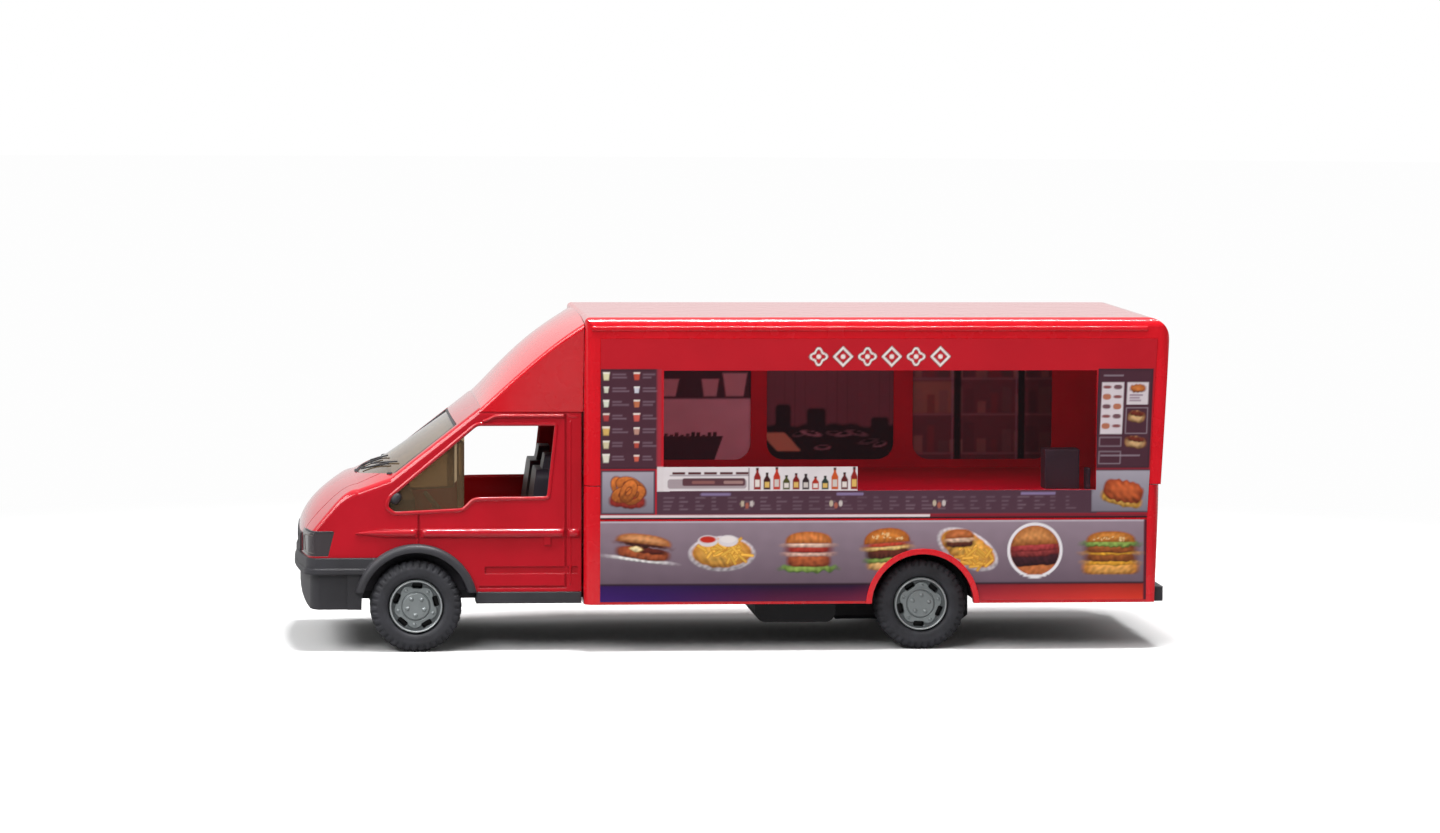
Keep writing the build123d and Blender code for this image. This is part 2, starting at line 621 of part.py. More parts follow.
rear_plate_front_x = box_front_x + box_wall + 0.05
rear_plate_half = inner_half_width - plate_clearance
rear_plate_rear_x = lower_rear_x - lower_rake - box_wall - plate_clearance
chassis = plate_part(nose_x + 5, cab_rear_x, plate_cab_half_width)
chassis = chassis + plate_part(cab_rear_x, rear_plate_front_x, plate_cab_half_width)
chassis = chassis + plate_part(rear_plate_front_x, rear_plate_rear_x, rear_plate_half)
well_half, well_y, well_high_z = tyre_radius + well_clearance, wheel_inner_y - well_side_clearance, 12
saddle_half, saddle_low_z = 2.2, axle_z - 2.0
saddle_y0, saddle_y1 = saddle_y - saddle_width / 2, saddle_y + saddle_width / 2
for axle_x in (front_axle_x, rear_axle_x):
    for side in sides:
        well = block(axle_x - well_half, axle_x + well_half, side * well_y, side * outside, 0, well_high_z)
        chassis = chassis - well
    if axle_x == rear_axle_x:
        liner = wheel_liner(axle_x, inner_half_width - 0.15)
        chassis = chassis + (liner & block(ahead_x, behind_x, -outside, outside, plate_low_z, above_z))
    saddle = block(axle_x - saddle_half, axle_x + saddle_half, -saddle_y1, -saddle_y0, saddle_low_z, plate_top_z)
    chassis = chassis + both_sides(saddle)
    chassis = chassis - side_disc(axle_x, axle_z, axle_pin_radius + running_clearance, -outside, outside)
keep("chassis_plate", chassis)

# Interior of the cab, one moulding: tray, dashboard, two seats, steering wheel
tray_z = 9.6
tray_half, tray_rear_x = plate_cab_half_width, cab_rear_x - cab_wall - 0.1
interior = block(from_nose(6.5), tray_rear_x, -tray_half, tray_half, plate_top_z, tray_z)
dash = block(from_nose(9.0), from_nose(17.0), -outside, outside, tray_z - 0.5, 22.3)
dash = dash & cab_form(cab_wall + 0.5)
for y0, y1 in ((-outside, -well_y), (well_y, outside)):
    dash = dash - side_disc(front_axle_x, axle_z, tyre_radius + well_clearance, y0, y1)
front_liner = wheel_liner(front_axle_x, cab_half_width) & cab_form(cab_wall + 0.5)
front_liner = front_liner & block(ahead_x, behind_x, -outside, outside, plate_top_z, above_z)
interior = interior + dash + front_liner
seat_gap, seat_front, seat_rear = 5.6, 24.5, 35.5
seat_half = (plate_cab_half_width - 1.3 - seat_gap / 2) / 2
seat_y = seat_gap / 2 + seat_half
cushion_z, back_top_z, headrest_z = 16.6, 26.3, 28.4
for side in sides:
    y0, y1 = side * seat_y - seat_half, side * seat_y + seat_half
    cushion = block(from_nose(seat_front), from_nose(seat_rear), y0, y1, tray_z - 0.5, cushion_z)
    back = side_prism(
        [
            (from_nose(32.8), tray_z - 0.5),
            (from_nose(seat_rear + 0.4), tray_z - 0.5),
            (from_nose(37.9), back_top_z),
            (from_nose(35.2), back_top_z),
        ],
        y0,
        y1,
    )
    back = fillet(back.edges().filter_by(Axis.X, tolerance=1).group_by(Axis.Z)[-1], 1.5)
    rest_half = seat_half * 0.55
    rest_outline = [
        (from_nose(36.0), back_top_z - 1),
        (from_nose(37.9), back_top_z - 1),
        (from_nose(38.3), headrest_z),
        (from_nose(36.6), headrest_z),
    ]
    headrest = side_prism(rest_outline, side * seat_y - rest_half, side * seat_y + rest_half)
    headrest = fillet(headrest.edges().filter_by(Axis.X, tolerance=1).group_by(Axis.Z)[-1], 0.8)
    interior = interior + cushion + back + headrest
wheel_x, wheel_z, wheel_tilt = from_nose(20.6), 20.4, 50
steering = Pos(wheel_x, -seat_y, wheel_z) * Rot(0, wheel_tilt, 0) * Torus(2.7, 0.32)
spoke = Pos(wheel_x, -seat_y, wheel_z) * Rot(0, wheel_tilt, 0) * Box(0.5, 5.4, 0.4)
column = Pos(wheel_x, -seat_y, wheel_z) * Rot(0, wheel_tilt, 0) * Pos(0, 0, -2.9) * Cylinder(0.5, 6.0)
interior = interior + steering + spoke + column
screw_places = [front_axle_x + 13.5, rear_axle_x + 16.5]
boss_radius, boss_height = 2.4, 2.0
boss_room = Cylinder(boss_radius + 0.1, 2 * boss_height + 0.4)
interior = interior - Pos(screw_places[0], 0, plate_top_z) * boss_room
keep("cab_interior", interior)

# Pull-back motor under the plate at the rear axle, and a block in front of it
motor_front, motor_rear, motor_half, motor_low_z = 12.0, 8.6, saddle_y0 - 1.7, 3.2
motor_x0, motor_x1 = rear_axle_x - motor_front, rear_axle_x + motor_rear
motor = block(motor_x0, motor_x1, -motor_half, motor_half, motor_low_z, plate_low_z)
motor = chamfer(motor.edges().group_by(Axis.Z)[0], 0.6)
motor = motor - side_disc(rear_axle_x, axle_z, axle_pin_radius + running_clearance, -outside, outside)
keep("motor_housing", motor)
tank_front, tank_rear, tank_half, tank_low_z = 24.4, 12.3, box_half_width - 5.75, 3.7
tank_x0, tank_x1 = rear_axle_x - tank_front, rear_axle_x - tank_rear
tank = block(tank_x0, tank_x1, -tank_half, tank_half, tank_low_z, plate_low_z)
tank = fillet(tank.edges().filter_by(Axis.Y).group_by(Axis.Z)[0], 1.6)
keep("under_block", tank)

# Screws that hold the plate
screw_head_radius, screw_head_height, screw_shank_radius, screw_length = 1.7, 0.7, 0.9, 2.6
screws = []
for x in screw_places:
    head = Pos(x, 0, plate_low_z - screw_head_height / 2) * Cylinder(screw_head_radius, screw_head_height)
    slot = Pos(x, 0, plate_low_z - screw_head_height) * (Box(2.0, 0.45, 0.7) + Box(0.45, 2.0, 0.7))
    shank = Pos(x, 0, plate_low_z + screw_length / 2) * Cylinder(screw_shank_radius, screw_length)
    boss = Pos(x, 0, plate_top_z + boss_height / 2) * Cylinder(boss_radius, boss_height)
    chassis = chassis + boss - shank
    screws += (head + shank - slot).solids()
keep("base_screws", Compound(children=screws))
keep("chassis_plate", chassis)

# Rear bumper
rear_foot_x = lower_rear_x - lower_rake
foot_y, foot_length, foot_height = box_half_width - 1.45, 1.5, 2.2
foot_top_z = box_bottom_z + foot_height
rear_bumper = block(rear_foot_x - 0.2, rear_foot_x + foot_length, -foot_y, foot_y, box_bottom_z, foot_top_z)
keep("rear_bumper", rear_bumper - lower_form(0))

# Wheels: pin, hubs and tyres
hub_face_y, dish_depth = wheel_outer_y - 0.3, 0.8
centre_radius, dish_radius, slot_radius, nut_ring, bump_ring = 1.9, 3.6, 3.0, 1.3, 2.75
hub_inner_y = wheel_outer_y - tyre_width + 0.5
hub_length = hub_face_y - hub_inner_y


def hub_blank():
    """A wheel hub lying on its inner face, outer face up."""
    hub = Cylinder(rim_radius, hub_length, align=(Align.CENTER, Align.CENTER, Align.MIN))
    dish = Cylinder(dish_radius, dish_depth, align=(Align.CENTER, Align.CENTER, Align.MAX))
    dish = dish - Cylinder(centre_radius, dish_depth, align=(Align.CENTER, Align.CENTER, Align.MAX))
    hub = hub - Pos(0, 0, hub_length) * dish
    slot = Box(0.8, 1.6, hub_length, align=(Align.CENTER, Align.CENTER, Align.MAX))
    slot = fillet(slot.edges().filter_by(Axis.Z), 0.3)
    nut = Cylinder(0.29, 0.35, align=(Align.CENTER, Align.CENTER, Align.MIN))
    bump = Cylinder(0.28, 0.35, align=(Align.CENTER, Align.CENTER, Align.MIN))
    for n in range(spoke_slot_count):
        turn = 360 / spoke_slot_count * n
        hub = hub - Rot(0, 0, turn) * Pos(slot_radius, 0, hub_length - dish_depth) * slot
        hub = hub + Rot(0, 0, turn + 36) * Pos(nut_ring, 0, hub_length - 0.05) * nut
        hub = hub + Rot(0, 0, turn + 36) * Pos(bump_ring, 0, hub_length - dish_depth - 0.05) * bump
    rim_edges = hub.edges().filter_by(GeomType.CIRCLE).group_by(Axis.Z)[-2]
    hub = chamfer(rim_edges.sort_by(SortBy.RADIUS)[-1], 0.2)
    return hub - Cylinder(axle_pin_radius, hub_length - 1.0, align=(Align.CENTER, Align.CENTER, Align.MIN))


def tyre_blank():
    """A tyre lying on its inner face."""
    half = Pos(0, 0, tyre_width / 2) * Cylinder(tyre_radius, tyre_width)
    half = fillet(half.edges().filter_by(GeomType.CIRCLE), 0.9)
    bore = Cylinder(rim_radius, tyre_width, align=(Align.CENTER, Align.CENTER, Align.MIN))
    return half - bore


hub = hub_blank()
tyre = tyre_blank()
places = [("front", front_axle_x, wheel_turn_front), ("rear", rear_axle_x, wheel_turn_rear)]
for end, x, turn in places:
    pin_half = hub_face_y - 1.0
    keep(f"{end}_axle", side_disc(x, axle_z, axle_pin_radius, -pin_half, pin_half))
    for side, word in zip(sides, ("left", "right")):
        stand = Pos(x, 0, axle_z) * Rot(90 if side < 0 else -90, 0, 0)
        keep(f"{end}_hub_{word}", stand * Rot(0, 0, 90 + turn) * Pos(0, 0, hub_inner_y) * hub)
        keep(f"{end}_tyre_{word}", stand * Pos(0, 0, wheel_outer_y - tyre_width) * tyre)
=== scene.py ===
import math

import bpy
import numpy as np
from mathutils import Euler, Matrix, Vector
from mathutils.bvhtree import BVHTree


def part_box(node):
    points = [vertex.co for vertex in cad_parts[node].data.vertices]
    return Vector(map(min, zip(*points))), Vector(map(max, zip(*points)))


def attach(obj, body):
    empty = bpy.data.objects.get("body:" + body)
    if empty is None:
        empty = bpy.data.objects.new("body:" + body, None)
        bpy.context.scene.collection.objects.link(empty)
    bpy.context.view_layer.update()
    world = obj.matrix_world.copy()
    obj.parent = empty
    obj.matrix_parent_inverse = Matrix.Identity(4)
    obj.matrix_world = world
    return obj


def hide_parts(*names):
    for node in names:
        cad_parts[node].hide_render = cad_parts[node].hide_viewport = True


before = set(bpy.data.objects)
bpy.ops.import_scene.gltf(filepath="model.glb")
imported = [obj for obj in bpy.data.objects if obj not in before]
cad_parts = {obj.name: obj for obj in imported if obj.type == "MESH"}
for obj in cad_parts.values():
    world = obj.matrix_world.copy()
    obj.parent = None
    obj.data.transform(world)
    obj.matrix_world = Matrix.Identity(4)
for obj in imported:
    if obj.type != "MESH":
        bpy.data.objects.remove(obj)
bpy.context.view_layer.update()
mm = 0.001
pi = math.pi
sides = ((-1, "left"), (1, "right"))


def nodeBox(node):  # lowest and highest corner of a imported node, in millimetres
    low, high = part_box(node)
    return np.array(low) / mm, np.array(high) / mm


upperFilm, lowerFilm = nodeBox("upper_film_left"), nodeBox("lower_film_left")
sauceFilm, kitchenFilm = nodeBox("sauce_film"), nodeBox("kitchen_films")
frontTyre, rearTyre = nodeBox("front_tyre_left"), nodeBox("rear_tyre_left")
tyreRadius = (frontTyre[1][2] - frontTyre[0][2]) / 2
axleX = {"front": (frontTyre[0][0] + frontTyre[1][0]) / 2, "rear": (rearTyre[0][0] + rearTyre[1][0]) / 2}
panelFrontX, panelRearX = upperFilm[0][0], upperFilm[1][0]
window = {"front": panelFrontX + 9.3, "rear": panelFrontX + 73.79, "low": 23.9, "high": 41.7}
print("frame loaded:", len(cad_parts), "nodes")

# finishes: every colour is an sRGB hex value, every size is in millimetres


def linear(hexText):  # sRGB to linear: c/12.92 up to 0.04045, above it ((c + 0.055)/1.055) to the power 2.4
    c = np.array([int(hexText[i:i + 2], 16) / 255 for i in (1, 3, 5)])
    return np.where(c <= 0.04045, c / 12.92, ((c + 0.055) / 1.055) ** 2.4)


def rgba(hexText):  # the linear colour with an opaque fourth number
    return (*linear(hexText), 1)


def addNode(tree, kind, inputs=None, **settings):
    # a shader node with its settings; an input is a plain value, a socket, or a node for its first output
    node = tree.nodes.new("ShaderNode" + kind)
    for key, value in settings.items():
        setattr(node, key, value)
    for socket, value in (inputs or {}).items():
        value = value.outputs[0] if isinstance(value, bpy.types.Node) else value
        if isinstance(value, bpy.types.NodeSocket):
            tree.links.new(value, node.inputs[socket])
        else:
            node.inputs[socket].default_value = value
    return node


def newTree(name):  # a material and its node tree, emptied
    material = bpy.data.materials.new(name)
    material.use_nodes = True
    material.node_tree.nodes.clear()
    return material, material.node_tree


grainLook = {"driftFrom": 0.35, "driftTo": 0.65, "inkTone": 0.03, "roughSpread": 0.15, "lift": 0.7}


def surface(name, base, second, roughness, grain=0.5, depth=0.002, patch=8, edge=0, **sockets):
    # base drifts to second over soft patches; fine grain lifts the surface and changes its roughness;
    # edge rounds what the eye sees of the corners. base "ink" takes the colour printed on the piece
    material, tree = newTree(name)
    place = addNode(tree, "TexCoord").outputs["Object"]
    drift = addNode(tree, "TexNoise", {"Vector": place, "Scale": 1 / (patch * mm), "Detail": 4})
    fine = addNode(tree, "TexNoise", {"Vector": place, "Scale": 1 / (grain * mm), "Detail": 5})
    spread = {"Value": drift, "From Min": grainLook["driftFrom"], "From Max": grainLook["driftTo"]}
    spread = addNode(tree, "MapRange", spread)
    if base == "ink":
        ink = addNode(tree, "Attribute", attribute_name="ink").outputs["Color"]
        tone = {"Value": spread, "To Min": 1 - grainLook["inkTone"], "To Max": 1 + grainLook["inkTone"]}
        tone = addNode(tree, "MapRange", tone)
        colour = addNode(tree, "VectorMath", {0: ink, 1: tone}, operation="MULTIPLY")
    else:
        mix = {0: spread, 6: rgba(base), 7: rgba(second)}
        colour = addNode(tree, "Mix", mix, data_type="RGBA").outputs[2]
    low, high = roughness * (1 - grainLook["roughSpread"]), roughness * (1 + grainLook["roughSpread"])
    rough = addNode(tree, "MapRange", {"Value": fine, "To Min": low, "To Max": high})
    lift = {"Height": fine, "Distance": depth * mm, "Strength": grainLook["lift"]}
    if edge:
        lift["Normal"] = addNode(tree, "Bevel", {"Radius": edge * mm}, samples=4)
    bump = addNode(tree, "Bump", lift)
    body = {"Base Color": colour, "Roughness": rough, "Normal": bump, **sockets}
    addNode(tree, "OutputMaterial", {"Surface": addNode(tree, "BsdfPrincipled", body)})
    return material


def clearPlastic(name, tint, clear=1, roughness=0.02, ripple=6, depth=0.01):
    # glass-like shader with the resin's tint; lamps shine through it, so what stands behind is lit;
    # with clear below 1 a part of the resin is milky
    material, tree = newTree(name)
    place = addNode(tree, "TexCoord").outputs["Object"]
    flow = addNode(tree, "TexNoise", {"Vector": place, "Scale": 1 / (ripple * mm), "Detail": 1})
    bump = addNode(tree, "Bump", {"Height": flow, "Distance": depth * mm, "Strength": 0.5})
    body = {"Base Color": rgba(tint), "Roughness": roughness, "IOR": 1.49, "Normal": bump}
    body.update({"Transmission Weight": clear, "Specular IOR Level": 0.35})
    shader = addNode(tree, "BsdfPrincipled", body)
    throughWall = addNode(tree, "BsdfTransparent", {"Color": (*np.sqrt(linear(tint)), 1)})
    ray = addNode(tree, "LightPath")
    lampRay = {0: ray.outputs["Is Shadow Ray"], 1: ray.outputs["Is Diffuse Ray"]}
    lampRay = addNode(tree, "Math", lampRay, operation="MAXIMUM")
    mixed = addNode(tree, "MixShader", {0: lampRay, 1: shader, 2: throughWall})
    addNode(tree, "OutputMaterial", {"Surface": mixed})
    return material


# zinc die casting sprayed with gloss enamel: deep even red, hard shine, paint gathers at the edges
glossy = {"Coat Weight": 1, "Coat Roughness": 0.05, "Specular IOR Level": 0.2}
gloss = {"edge": 0.22, **glossy}
enamel = surface("sprayedGlossEnamel", "#bc0f22", "#b20d1e", 0.34, grain=1.8, depth=0.004, **gloss)
# ABS moulded in a polished tool: bright red, broad soft shine, faint sink marks
gloss = {"patch": 14, "edge": 0.18, **glossy}
redAbs = surface("polishedRedAbs", "#dc1222", "#d40f1e", 0.27, grain=3, depth=0.001, **gloss)
# the same ABS from a plain tool: duller, as on the kitchen moulding
dull = {"Specular IOR Level": 0.1}
dullRedAbs = surface("plainRedAbs", "#e60c34", "#d80a30", 0.50, grain=0.7, edge=0.1, **dull)
# black ABS from a spark-eroded tool: fine dry grain that greys the black
grainBlack = surface("sparkErodedBlackAbs", "#2e2d31", "#38373c", 0.50, grain=0.16, depth=0.012, edge=0.35)
# the same from a coarser tool: the under-floor plate and what hangs on it
plateBlack = surface("chassisBlackAbs", "#1c1c1f", "#242427", 0.60, grain=0.30, depth=0.014, edge=0.12)
# warmer black ABS with a faint sheen: the seats and their tray
seatBlack = surface("seatBlackAbs", "#34303a", "#3e3a44", 0.45, grain=0.24, depth=0.012, edge=0.3)
# soft PVC tyre: charcoal, dull, dust in the grain
softPvc = surface("softPvcTyre", "#27272b", "#34343a", 0.68, grain=0.30, depth=0.012, patch=2.5)
# ABS with aluminium flake mixed in: grey with a low metal glow; the hub's ink adds painted shade in its
# hollows and a painted highlight on its lip
hubSilver = surface("flakeSilverHub", "ink", None, 0.34, grain=0.14, depth=0.003, patch=1.5, Metallic=0.35)
# drawn mild steel pin and screw, nickel dull
drawnSteel = surface("drawnSteel", "#a8a7a3", "#b6b5b1", 0.30, grain=0.10, depth=0.003, Metallic=1)
# dyed acrylic lamp block: deep clear-looking red
coated = {"Coat Weight": 0.5}
lampRed = surface("dyedRedAcrylic", "#8f0a12", "#a00d16", 0.10, grain=0.5, edge=0.12, **coated)
# vacuum-silvered cup behind a lamp lens
silvered = surface("vacuumSilveredCup", "#5f5652", "#6b625e", 0.35, grain=0.4, Metallic=0.2)
# printed vinyl film under a thin varnish
vinyl = surface("varnishedPrint", "ink", None, 0.36, grain=0.35, depth=0.002, **{"Specular IOR Level": 0.3})
# print on bare card, with no varnish
card = surface("printedCard", "ink", None, 0.60, grain=0.30, **{"Specular IOR Level": 0.05})
# clear polystyrene: smoked for the cab, darker for the lamps, rose for the serving panel
smokedClear = clearPlastic("smokedPolystyrene", "#a58f72", clear=0.86)
lampClear = clearPlastic("smokedLampLens", "#565053", clear=0.4)
tintedClear = clearPlastic("tintedPolystyrene", "#eed0dc")

nodeFinishes = {
    enamel: ["cab_shell"],
    redAbs: ["roof_fairing", "box_upper", "box_lower", "upper_film_left", "upper_film_right",
        "lower_film_left", "lower_film_right", "sauce_film"],
    dullRedAbs: ["kitchen_moulding", "kitchen_films"],
    grainBlack: ["grille", "front_bumper", "side_sills", "rear_bumper", "kitchen_appliances"],
    plateBlack: ["chassis_plate", "motor_housing", "under_block"],
    seatBlack: ["cab_interior"],
    drawnSteel: ["base_screws", "front_axle", "rear_axle"],
    lampRed: ["tail_lamps"],
    smokedClear: ["cab_glazing"],
    lampClear: ["headlamp_lenses"],
    tintedClear: ["serving_panel"],
    hubSilver: ["front_hub_left", "front_hub_right", "rear_hub_left", "rear_hub_right"],
    silvered: ["headlamp_backs"],
    softPvc: ["front_tyre_left", "front_tyre_right", "rear_tyre_left", "rear_tyre_right"],
}
for material, nodeNames in nodeFinishes.items():
    for nodeName in nodeNames:
        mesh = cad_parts[nodeName].data
        mesh.materials.clear()
        mesh.materials.append(material)
print("finishes given to", sum(len(n) for n in nodeFinishes.values()), "nodes")


# pieces: points in millimetres on a grid of two parameters, joined by four-sided faces


def gridFaces(rows, columns, closeRows=False, closeColumns=False):
    # face (i, j) joins rows i and i + 1, columns j and j + 1; a closed side joins its last to its first
    ends = np.arange(rows - (not closeRows)), np.arange(columns - (not closeColumns))
    i, j = np.meshgrid(*ends, indexing="ij")
    a, b = i * columns + j, (i + 1) % rows * columns + j
    c, d = (i + 1) % rows * columns + (j + 1) % columns, i * columns + (j + 1) % columns
    return np.stack([a, b, c, d], -1).reshape(-1, 4)


def inScene(name, data):  # an object of the data, put in the scene
    thing = bpy.data.objects.new(name, data)
    bpy.context.collection.objects.link(thing)
    return thing


def makePiece(name, points, faces, material, body, slotName, smooth=True, ink=None, replaced=(), caps=()):
    # a mesh of the points that the faces use; caps are further faces; ink is a colour for each point
    used, packed = np.unique(faces, return_inverse=True)
    mesh = bpy.data.meshes.new(name)
    allFaces = packed.reshape(faces.shape).tolist() + list(caps)
    mesh.from_pydata(points[used] * mm, [], allFaces, shade_flat=not smooth)
    mesh.materials.append(material)
    if ink is not None:
        colours = np.ones((len(used), 4), np.float32)
        colours[:, :3] = ink[used]
        layer = mesh.color_attributes.new(name="ink", type="FLOAT_COLOR", domain="POINT")
        layer.data.foreach_set("color", colours.ravel())
    piece = inScene(name, mesh)
    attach(piece, body)
    if replaced:
        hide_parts(*replaced)
    return piece


# printing: ink is one linear colour for each grid point; shapes are covers from 0 to 1


def cover(distance, soft=0.13):  # 1 inside, 0 outside, a soft step over the edge
    return np.clip(0.5 - distance / soft, 0, 1)


def lay(ink, amount, colour):  # ink moves towards the colour by the amount
    colour = linear(colour) if isinstance(colour, str) else colour
    ink += (colour - ink) * np.asarray(amount)[:, None]


def fill(ink, distance, colour, amount=1, soft=0.13):  # the colour where the distance is below zero
    lay(ink, cover(distance, soft) * amount, colour)


def slab(x, z, x0, x1, z0, z1, corner=0):  # distance to a rounded upright rectangle, below zero inside
    dx = np.abs(x - (x0 + x1) / 2) - (x1 - x0) / 2 + corner
    dz = np.abs(z - (z0 + z1) / 2) - (z1 - z0) / 2 + corner
    return np.hypot(np.maximum(dx, 0), np.maximum(dz, 0)) + np.minimum(np.maximum(dx, dz), 0) - corner


def lobe(u, v, a, b, power=2):
    # distance to a superellipse: ((|u/a|^p + |v/b|^p)^(1/p) - 1) times its smaller radius
    return ((np.abs(u / a) ** power + np.abs(v / b) ** power) ** (1 / power) - 1) * min(a, b)


def mottle(x, z, size, seed):  # sum of eight sine waves with seeded directions, about -1 to 1
    chance = np.random.default_rng(seed)
    turns, phases = chance.uniform(0, pi, 8), chance.uniform(0, 2 * pi, 8)
    waves = []
    for turn, phase, pitch in zip(turns, phases, chance.uniform(0.6, 1.7, 8)):
        run = x * np.cos(turn) + z * np.sin(turn)
        waves.append(np.sin(2 * pi / size * pitch * run + phase))
    return sum(waves) / 4


def turned(x, z, place, degrees):  # coordinates about a place, turned
    c, s = math.cos(math.radians(degrees)), math.sin(math.radians(degrees))
    u, v = x - place[0], z - place[1]
    return u * c + v * s, v * c - u * s


def ground(x, z, colour, share, size, seed):  # one colour, made lighter and darker by a share of the mottle
    return np.tile(linear(colour), (len(x), 1)) * (1 + share * mottle(x, z, size, seed)[:, None])


def layFood(ink, x, z, place, turn, layers, seed):
    # lobes laid one over another. Each layer: u, v, half width, half height, power, main colour,
    # edge colour, wave height, wave pitch, and the lowest v kept where its foot is cut off
    near = np.flatnonzero((np.abs(x - place[0]) < 7) & (np.abs(z - place[1]) < 6))
    u, v = turned(x[near], z[near], place, turn)
    u, v = u / foodScale[0], v / foodScale[1]
    part = ink[near]
    for number, (cu, cv, a, b, power, main, rim, wave, pitch, *cut) in enumerate(layers):
        shift = wave * 0.8 * mottle(u, 0 * u, 1.7 * pitch, seed * 17 + number)
        d = lobe(u - cu, v - cv - shift, a, b, power)
        if cut:
            d = np.maximum(d, cut[0] - (v - cv))
        spots = mottle(u, v, 0.9, seed * 31 + number)
        light = np.clip(0.98 + 0.42 * (v - cv) / b + 0.24 * spots, 0.4, 1.6)
        edge = np.clip(1 + d / (0.45 * b), 0, 1)[:, None]
        colour = (linear(main) * (1 - edge) + linear(rim) * edge) * light[:, None]
        amount = cover(d, 0.16)[:, None]
        part = part + (colour - part) * amount
    ink[near] = part


fries = {"long": 1.9, "half": 0.17, "corner": 0.08, "rim": 0.07, "rimTint": "#b8681c"}


def layFries(ink, x, z, place, spread, count, seed, tint):  # sticks: turned slabs, the later ones on top
    chance = np.random.default_rng(seed)
    for n in range(count):
        spot = (place[0] + chance.normal(0, spread[0]), place[1] + chance.normal(0, spread[1]))
        u, v = turned(x, z, spot, chance.uniform(-70, 70))
        length = fries["long"] * chance.uniform(0.7, 1.1)
        d = slab(u, v, -length / 2, length / 2, -fries["half"], fries["half"], fries["corner"])
        fill(ink, d - fries["rim"], fries["rimTint"], 0.8)
        fill(ink, d, linear(tint) * chance.uniform(0.75, 1.2))


foodScale = (1.08, 1.25)  # growth of every dish sideways and upward
bunTop, bunEdge, breadLight = "#c4752e", "#8c4516", "#dcb070"
beef, beefEdge, leaf, leafDark, cheese = "#5a2a1e", "#35160f", "#86a04c", "#4e6a2c", "#e0a030"
foods = {
    "longRoll": [(-0.3, -1.55, 4.5, 0.24, 3, "#e6e2e0", "#b9b0b4", 0.03, 4),
        (0.1, -0.75, 3.7, 0.75, 3, "#a8522e", "#74301a", 0.04, 2),
        (0.9, -0.35, 2.3, 0.34, 3, "#5a2018", "#3c140e", 0.1, 0.9),
        (-0.9, -0.3, 1, 0.4, 1.3, "#ecd8a8", "#c89c58", 0, 1),
        (0, 0.3, 3.6, 0.28, 3, "#3e1c16", "#6a3020", 0.16, 0.7),
        (0, 0.55, 3.8, 1, 2.4, "#c98a58", "#8e4c22", 0, 1, -0.15)],
    "tallBun": [(0, -2.1, 4, 0.5, 2.4, leaf, leafDark, 0.22, 0.8),
        (0, -1.2, 3, 0.75, 4, "#a8532e", "#74301c", 0.06, 1.1),
        (0, -0.4, 3.3, 0.3, 4, "#d9b0a0", "#b98a7c", 0.05, 1.5),
        (0, 0.15, 3.1, 0.42, 4, "#a83228", "#7a1c18", 0.03, 2),
        (0, 0.62, 3.3, 0.26, 4, "#dcb9a6", "#b88a76", 0.03, 2),
        (0, 1, 3.2, 1.25, 2.4, "#c8763c", "#96501f", 0, 1, -0.15)],
    "roundBun": [(0, -2.3, 2.9, 0.6, 3, breadLight, "#a8743a", 0, 1),
        (0, -1.6, 3.2, 0.4, 3, leaf, leafDark, 0.2, 0.7),
        (0, -0.9, 3, 0.6, 4, beef, beefEdge, 0.08, 0.8),
        (0, -0.25, 3.2, 0.3, 4, "#e2c07c", "#c08c3c", 0.16, 1.5),
        (0, 0.1, 3, 0.25, 4, "#b8402c", "#7e2418", 0.04, 1.8),
        (0, 0.4, 3.2, 1.7, 2.2, bunTop, bunEdge, 0, 1, -0.1)],
    "plate": [(0, 0, 4.6, 2.1, 2, "#ded6d8", "#b9aeb4", 0, 1),
        (0, 0.1, 4.1, 1.75, 2, "#d8a048", "#b8742c", 0.1, 0.9)],
    "sideBun": [(0, -0.4, 2, 0.5, 3, beef, beefEdge, 0.08, 0.7),
        (0, 0, 2.2, 0.3, 3, "#d8b49c", "#a87a5c", 0.1, 0.9),
        (0, 0.3, 2, 1, 2.3, "#b8683a", "#84421c", 0, 1, -0.1)],
    "platedBun": [(0, -2.2, 3.4, 1.3, 3, "#b8683a", "#8c3c1c", 0, 1),
        (0, -0.9, 3.6, 0.8, 4, "#3e1c24", "#2a1018", 0.12, 0.8),
        (0, -0.1, 3.6, 0.5, 4, "#8c3434", "#5c1c20", 0.14, 0.9),
        (0, 0.5, 3.5, 0.45, 4, "#a83a3c", "#70201f", 0.06, 1.6),
        (0, 0.8, 3.3, 2.4, 2.2, "#c08048", "#8c4c20", 0, 1, 0)],
    "wrap": [(0, -1, 2.9, 0.8, 3, "#d2a04c", "#a8741f", 0.1, 0.8),
        (0, 0, 2.8, 1.3, 3, "#b8562c", "#7e3018", 0.2, 0.7)],
    "tray": [(0, -0.9, 2.5, 0.8, 3, "#a4342a", "#74201a", 0.1, 0.8)],
    "patty": [(0, 0, 1.1, 0.5, 2.5, "#b86a34", "#7e3c1c", 0.08, 0.5)],
    "doubleBun": [(0, -2.2, 3.9, 0.75, 4, "#d99a4c", "#a86424", 0, 1),
        (0, -1.5, 3.7, 0.3, 4, cheese, "#b87c20", 0.12, 1.3),
        (0, -0.9, 3.6, 0.5, 4, "#8c4c22", "#5c2a12", 0.1, 0.8),
        (0, -0.35, 3.8, 0.26, 4, cheese, "#b87c20", 0.1, 1.1),
        (0, 0.15, 3.6, 0.5, 4, "#9a5226", "#643014", 0.08, 0.9),
        (0, 0.75, 4, 0.42, 3, leaf, leafDark, 0.22, 0.8),
        (0, 1.1, 3.4, 1.15, 2.3, "#bf7a34", "#8e4c1c", 0, 1, -0.15)],
}
